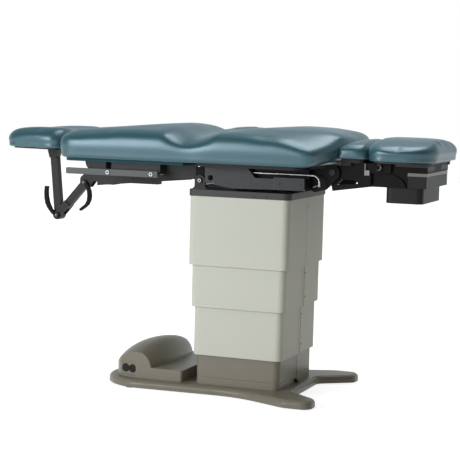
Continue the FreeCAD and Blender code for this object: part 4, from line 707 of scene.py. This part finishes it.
def turned(bm, profile, place, axis):
    """Spins a profile of (radius, height) points round an axis and sets it in place."""
    known = set(bm.verts)
    verts = [bm.verts.new((radius, 0, height)) for radius, height in profile]
    edges = [bm.edges.new(pair) for pair in zip(verts, verts[1:])]
    bmesh.ops.spin(
        bm, geom=verts + edges, cent=(0, 0, 0), axis=(0, 0, 1), angle=math.tau, steps=24,
        use_merge=True, use_duplicate=False)
    bmesh.ops.transform(
        bm, matrix=Matrix.Translation(place) @ rotation_towards(axis),
        verts=[v for v in bm.verts if v not in known])


def bar(bm, start, end, radius):
    """A round bar with domed ends between two places."""
    way = Vector(end) - Vector(start)
    dome = [(TIP, radius * 0.7), (radius * 0.7, radius * 0.4), (radius, 0)]
    profile = [(r, -past) for r, past in dome]
    profile += [(r, way.length + past) for r, past in reversed(dome)]
    turned(bm, profile, start, way)


def slab(bm, low, high, soft):
    """A thin plate with eased edges between two corners."""
    known = set(bm.verts)
    size = Vector(high) - Vector(low)
    middle = (Vector(high) + Vector(low)) / 2
    bmesh.ops.create_cube(
        bm, size=1, matrix=Matrix.Translation(middle) @ Matrix.Diagonal((*size, 1)))
    edges = [e for e in bm.edges if e.verts[0] not in known]
    bmesh.ops.bevel(
        bm, geom=edges, offset=soft, segments=2, profile=0.5, material=-1, affect="EDGES")


def cut_plate(bm, outline, near, far, soft):
    """A plate with a side outline of (x, z) points, between two places across the chair."""
    known = set(bm.verts)
    face = bm.faces.new([bm.verts.new((x, near, z)) for x, z in outline])
    swept = bmesh.ops.extrude_face_region(bm, geom=[face])["geom"]
    bmesh.ops.translate(
        bm, verts=[v for v in swept if isinstance(v, bmesh.types.BMVert)], vec=(0, far - near, 0))
    rims = [
        e for e in bm.edges
        if e.verts[0] not in known and abs(e.verts[0].co.y - e.verts[1].co.y) < 0.0001]
    bmesh.ops.bevel(
        bm, geom=rims, offset=soft, segments=2, profile=0.5, material=-1, affect="EDGES")


def outer_faces(node):
    """A node's outermost places across the chair, each with the sign of its side."""
    low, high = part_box(node)
    return (low.y, NEAR), (high.y, FAR)


def make_bolt_details():
    """Sockets, washers and rings on the bolts of both sides."""
    socket = [(TIP, 0.0006), (0.0034, 0.0006), (0.0044, 0.0001), (0.0044, -0.001)]
    washer = [(0.0078, 0.0002), (0.0112, 0.0002), (0.0118, -0.0004)]
    ring = [(0.0040, -0.0005), (0.0042, 0.0007), (0.0066, 0.0007), (0.0072, -0.0005)]
    for rail, number in (("rail_near", 0), ("rail_far", 1)):
        bolt_face, side = outer_faces(f"{rail}_bolts")[number]
        for kind, profile, face in (
                ("sockets", socket, bolt_face), ("washers", washer, side * STANDOFF_FACE)):
            bm = bmesh.new()
            for x in RAIL_BOLTS_X:
                turned(bm, profile, (x, face, RAIL_BOLTS_Z), (0, side, 0))
            finished(bm, f"{rail}_{kind}", rail, "black_plastic")
    # The tilt bolts' rings are near white: partly zinc, partly a painted glint round the bolt
    # heads.
    bm = bmesh.new()
    for face, side in outer_faces("tilt_bolts"):
        turned(bm, ring, (TILT_BOLT_X, face, TILT_BOLT_Z), (0, side, 0))
    finished(bm, "tilt_bolt_rings", "lift", "zinc_with_painted_glint")


def make_screws():
    """The screws of the seat's end covers, and the plugs in the top plate's near edge."""
    screw = [
        (TIP, -0.0004), (0.0016, -0.0002), (0.0019, 0.0010), (0.0036, 0.0012),
        (0.0046, 0.0002), (0.0046, -0.001)]
    plug = [(TIP, 0.0003), (0.0030, 0.0004), (0.0040, 0.0008), (0.0048, 0.0002), (0.0048, -0.001)]
    bm = bmesh.new()
    for face, side in outer_faces("seat_end_covers"):
        for x in COVER_SCREWS_X:
            turned(bm, screw, (x, face, COVER_SCREWS_Z), (0, side, 0))
    finished(bm, "cover_screws", "seat", "black_plastic")
    bm = bmesh.new()
    face, side = outer_faces("top_plate")[0]
    for x in PLUGS_X:
        turned(bm, plug, (x, face, PLUGS_Z), (0, side, 0))
    finished(bm, "top_plate_plugs", "lift", "black_plastic")


def make_bars_and_strips():
    """The short release bars under the side plates, the clips that hold the chrome rods, and
    the strips beside the end covers."""
    for name, start, end, across, radius in (
            ("side_plate_bars", (-0.131, 0.8405), (-0.094, 0.8475), 0.2518, 0.0020),
            ("rod_clips", (0.306, 0.8475), (0.334, 0.859), 0.2345, 0.0019)):
        bm = bmesh.new()
        for side in SIDES:
            bar(bm, *((x, side * across, z) for x, z in (start, end)), radius)
        finished(bm, name, "seat", "latch_parts")
    bm = bmesh.new()
    for side in SIDES:
        near, far = sorted((side * 0.2445, side * 0.2522))
        slab(bm, (0.1512, near, 0.8325), (0.1538, far, 0.8795), 0.0005)
    finished(bm, "cover_strips", "seat", "rail_steel", smooth=False)


def make_lever_grips():
    """Moulded grips on the two headrest levers, broad in the middle and thin at the tips, and
    the screw that holds each."""
    knuckle = [
        (-0.764, 0.806), (-0.751, 0.790), (-0.7435, 0.768), (-0.7415, 0.748), (-0.7445, 0.730),
        (-0.753, 0.713), (-0.768, 0.699), (-0.790, 0.6845), (-0.800, 0.687), (-0.796, 0.695),
        (-0.772, 0.7135), (-0.7635, 0.731), (-0.7615, 0.750), (-0.7635, 0.770), (-0.771, 0.790),
        (-0.779, 0.800)]
    elbow = [
        (-0.945, 0.7825), (-0.9635, 0.7825), (-0.9655, 0.757), (-0.9645, 0.733), (-0.9600, 0.710),
        (-0.949, 0.6885), (-0.931, 0.667), (-0.914, 0.655), (-0.911, 0.668), (-0.927, 0.688),
        (-0.939, 0.712), (-0.945, 0.737), (-0.9465, 0.760)]
    screw = [
        (TIP, 0.0012), (0.0022, 0.0012), (0.0026, 0.0020), (0.0042, 0.0018),
        (0.0050, 0.0004), (0.0050, -0.0020)]
    for lever, outline, near in (("knuckle", knuckle, -0.0318), ("elbow", elbow, -0.0338)):
        bm = bmesh.new()
        cut_plate(bm, outline, near, near + GRIP_WIDTH, 0.0026)
        finished(bm, f"{lever}_grip", f"{lever}_lever", "shade_darkened_black")
    for lever, place in (
            ("knuckle", (-0.780, -0.0316, 0.806)), ("elbow", (-0.907, -0.0336, 0.661))):
        bm = bmesh.new()
        turned(bm, screw, place, (0, NEAR, 0))
        finished(bm, f"{lever}_screw", f"{lever}_lever", "latch_parts")


def make_shroud_seams():
    """The dark joint down each shroud's foot-end face, and the flush screws beside it. Each
    shroud's upper screw sits below the rim of the shroud over it."""
    screw = [
        (TIP, -0.0006), (0.0010, -0.0004), (0.0014, 0.0003), (0.0030, 0.0003),
        (0.0033, -0.0010)]
    half_joint, margin = 0.0009, 0.002
    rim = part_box("upper_shroud")[1].z - 0.008
    for node, body in (
            ("upper_shroud", "lift"), ("middle_shroud", "middle_shroud"),
            ("lower_shroud", "lower_shroud"), ("base_shroud", "base")):
        low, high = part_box(node)
        bm = bmesh.new()
        slab(bm, (high.x - 0.0014, -half_joint, low.z + margin),
             (high.x - 0.0005, half_joint, high.z - margin), 0.0002)
        finished(bm, f"{node}_joint", body, "slot_black", smooth=False)
        bm = bmesh.new()
        for z in (rim - 0.033, low.z + 0.040):
            turned(bm, screw, (high.x, 0.011, z), (1, 0, 0))
        finished(bm, f"{node}_screws", body, "black_plastic")
        rim = low.z


def make_knob_caps():
    """Black caps on the knobs of the foot section's latches."""
    cap = [
        (TIP, 0.0016), (0.0060, 0.0014), (0.0105, 0.0004), (0.0133, -0.002), (0.0136, -0.005),
        (0.0136, -0.0125)]
    bm = bmesh.new()
    for face, side in outer_faces("extension_latches"):
        turned(bm, cap, (KNOB_X, face, KNOB_Z), (0, side, 0))
    finished(bm, "latch_knob_caps", "foot", "shade_darkened_black")


def make_calf_spacer():
    """The spacer between the foot frame's head end and the calf cushion, ahead of its board."""
    head_end, foot_end = 0.404, 0.4435
    bm = bmesh.new()
    slab(bm, (head_end, -0.200, 0.9455), (foot_end, 0.200, 0.9615), 0.0015)
    for side in SIDES:
        near, far = sorted((side * 0.166, side * 0.1995))
        slab(bm, (head_end, near, 0.934), (foot_end, far, 0.948), 0.001)
    finished(bm, "calf_spacer", "foot", "board", smooth=False)


def span(points, way):
    """The least and greatest reach of some points in a direction."""
    reach = [p.dot(way) for p in points]
    return min(reach), max(reach)


def make_outlet_gasket():
    """The dark gasket that shows round the outlet plate."""
    points = [v.co for v in frame["nodes"]["outlet_plate"].data.vertices]
    face = span(points, OUTLET_OUT)[1]
    start, end = span(points, OUTLET_ALONG)
    low, high = span(points, UP)
    bm = bmesh.new()
    slab(bm, (-end - 0.003, -face + 0.0008, low - 0.001),
         (-start + 0.003, -face + 0.0030, high + 0.003), 0.0004)
    bmesh.ops.transform(bm, matrix=OUTLET_TURN, verts=bm.verts)
    finished(bm, "outlet_gasket", "base", "slot_black", smooth=False)


def outlet_places():
    """Where each outlet face lies and which way it looks, from its own outermost points."""
    points = [v.co for v in frame["nodes"]["power_outlets"].data.vertices]
    top = span(points, OUTLET_OUT)[1]
    face = [p for p in points if p.dot(OUTLET_OUT) > top - 0.0005]
    middle = sum(span(face, OUTLET_ALONG)) / 2
    found = []
    for half in SIDES:
        mine = [p for p in face if (p.dot(OUTLET_ALONG) - middle) * half > 0]
        centre = (
            OUTLET_OUT * top + OUTLET_ALONG * sum(span(mine, OUTLET_ALONG)) / 2
            + UP * sum(span(mine, UP)) / 2)
        found.append(Matrix.Translation(centre) @ OUTLET_TURN)
    return found


def make_outlet_slots():
    """Two slots and a round earth hole in each outlet face, on the housing's slanted side."""
    hole = [(TIP, 0.0006), (0.0024, 0.0006), (0.0027, -0.0002)]
    bm = bmesh.new()
    for place in outlet_places():
        known = set(bm.verts)
        for side in SIDES:
            across = side * 0.0062
            slab(bm, (across - 0.0013, -0.0006, 0.0010), (across + 0.0013, 0.0002, 0.0090), 0.0003)
        turned(bm, hole, (0, 0, -0.0070), (0, NEAR, 0))
        mine = [v for v in bm.verts if v not in known]
        bmesh.ops.transform(bm, matrix=place, verts=mine)
    finished(bm, "outlet_slots", "base", "slot_black")


# Build

look_from_foot_end()
white_room()
pale_floor()
softbox(
    "side_light", place=(-2.80, -4.7, 1.60), aim=(-0.4, 0, 0.95), width=2.4, height=2.8,
    power=194, colour=(0.92, 0.96, 1.0))
softbox(
    "top_light", place=(0.30, 0.4, 3.6), aim=(0.30, 0.4, 0.9), width=1.3, height=3.4,
    power=66, colour=(0.95, 0.98, 1.0))

pebble_grain = make_grain_group()
slow_tone = make_tone_group()
soft_edges = make_edge_group()
brushed_lines = make_brushed_group()
finishes = make_finishes()
dress_the_frame()
make_long_cover()
make_small_cushions()
make_bolt_details()
make_screws()
make_bars_and_strips()
make_lever_grips()
make_shroud_seams()
make_knob_caps()
make_calf_spacer()
make_outlet_gasket()
make_outlet_slots()
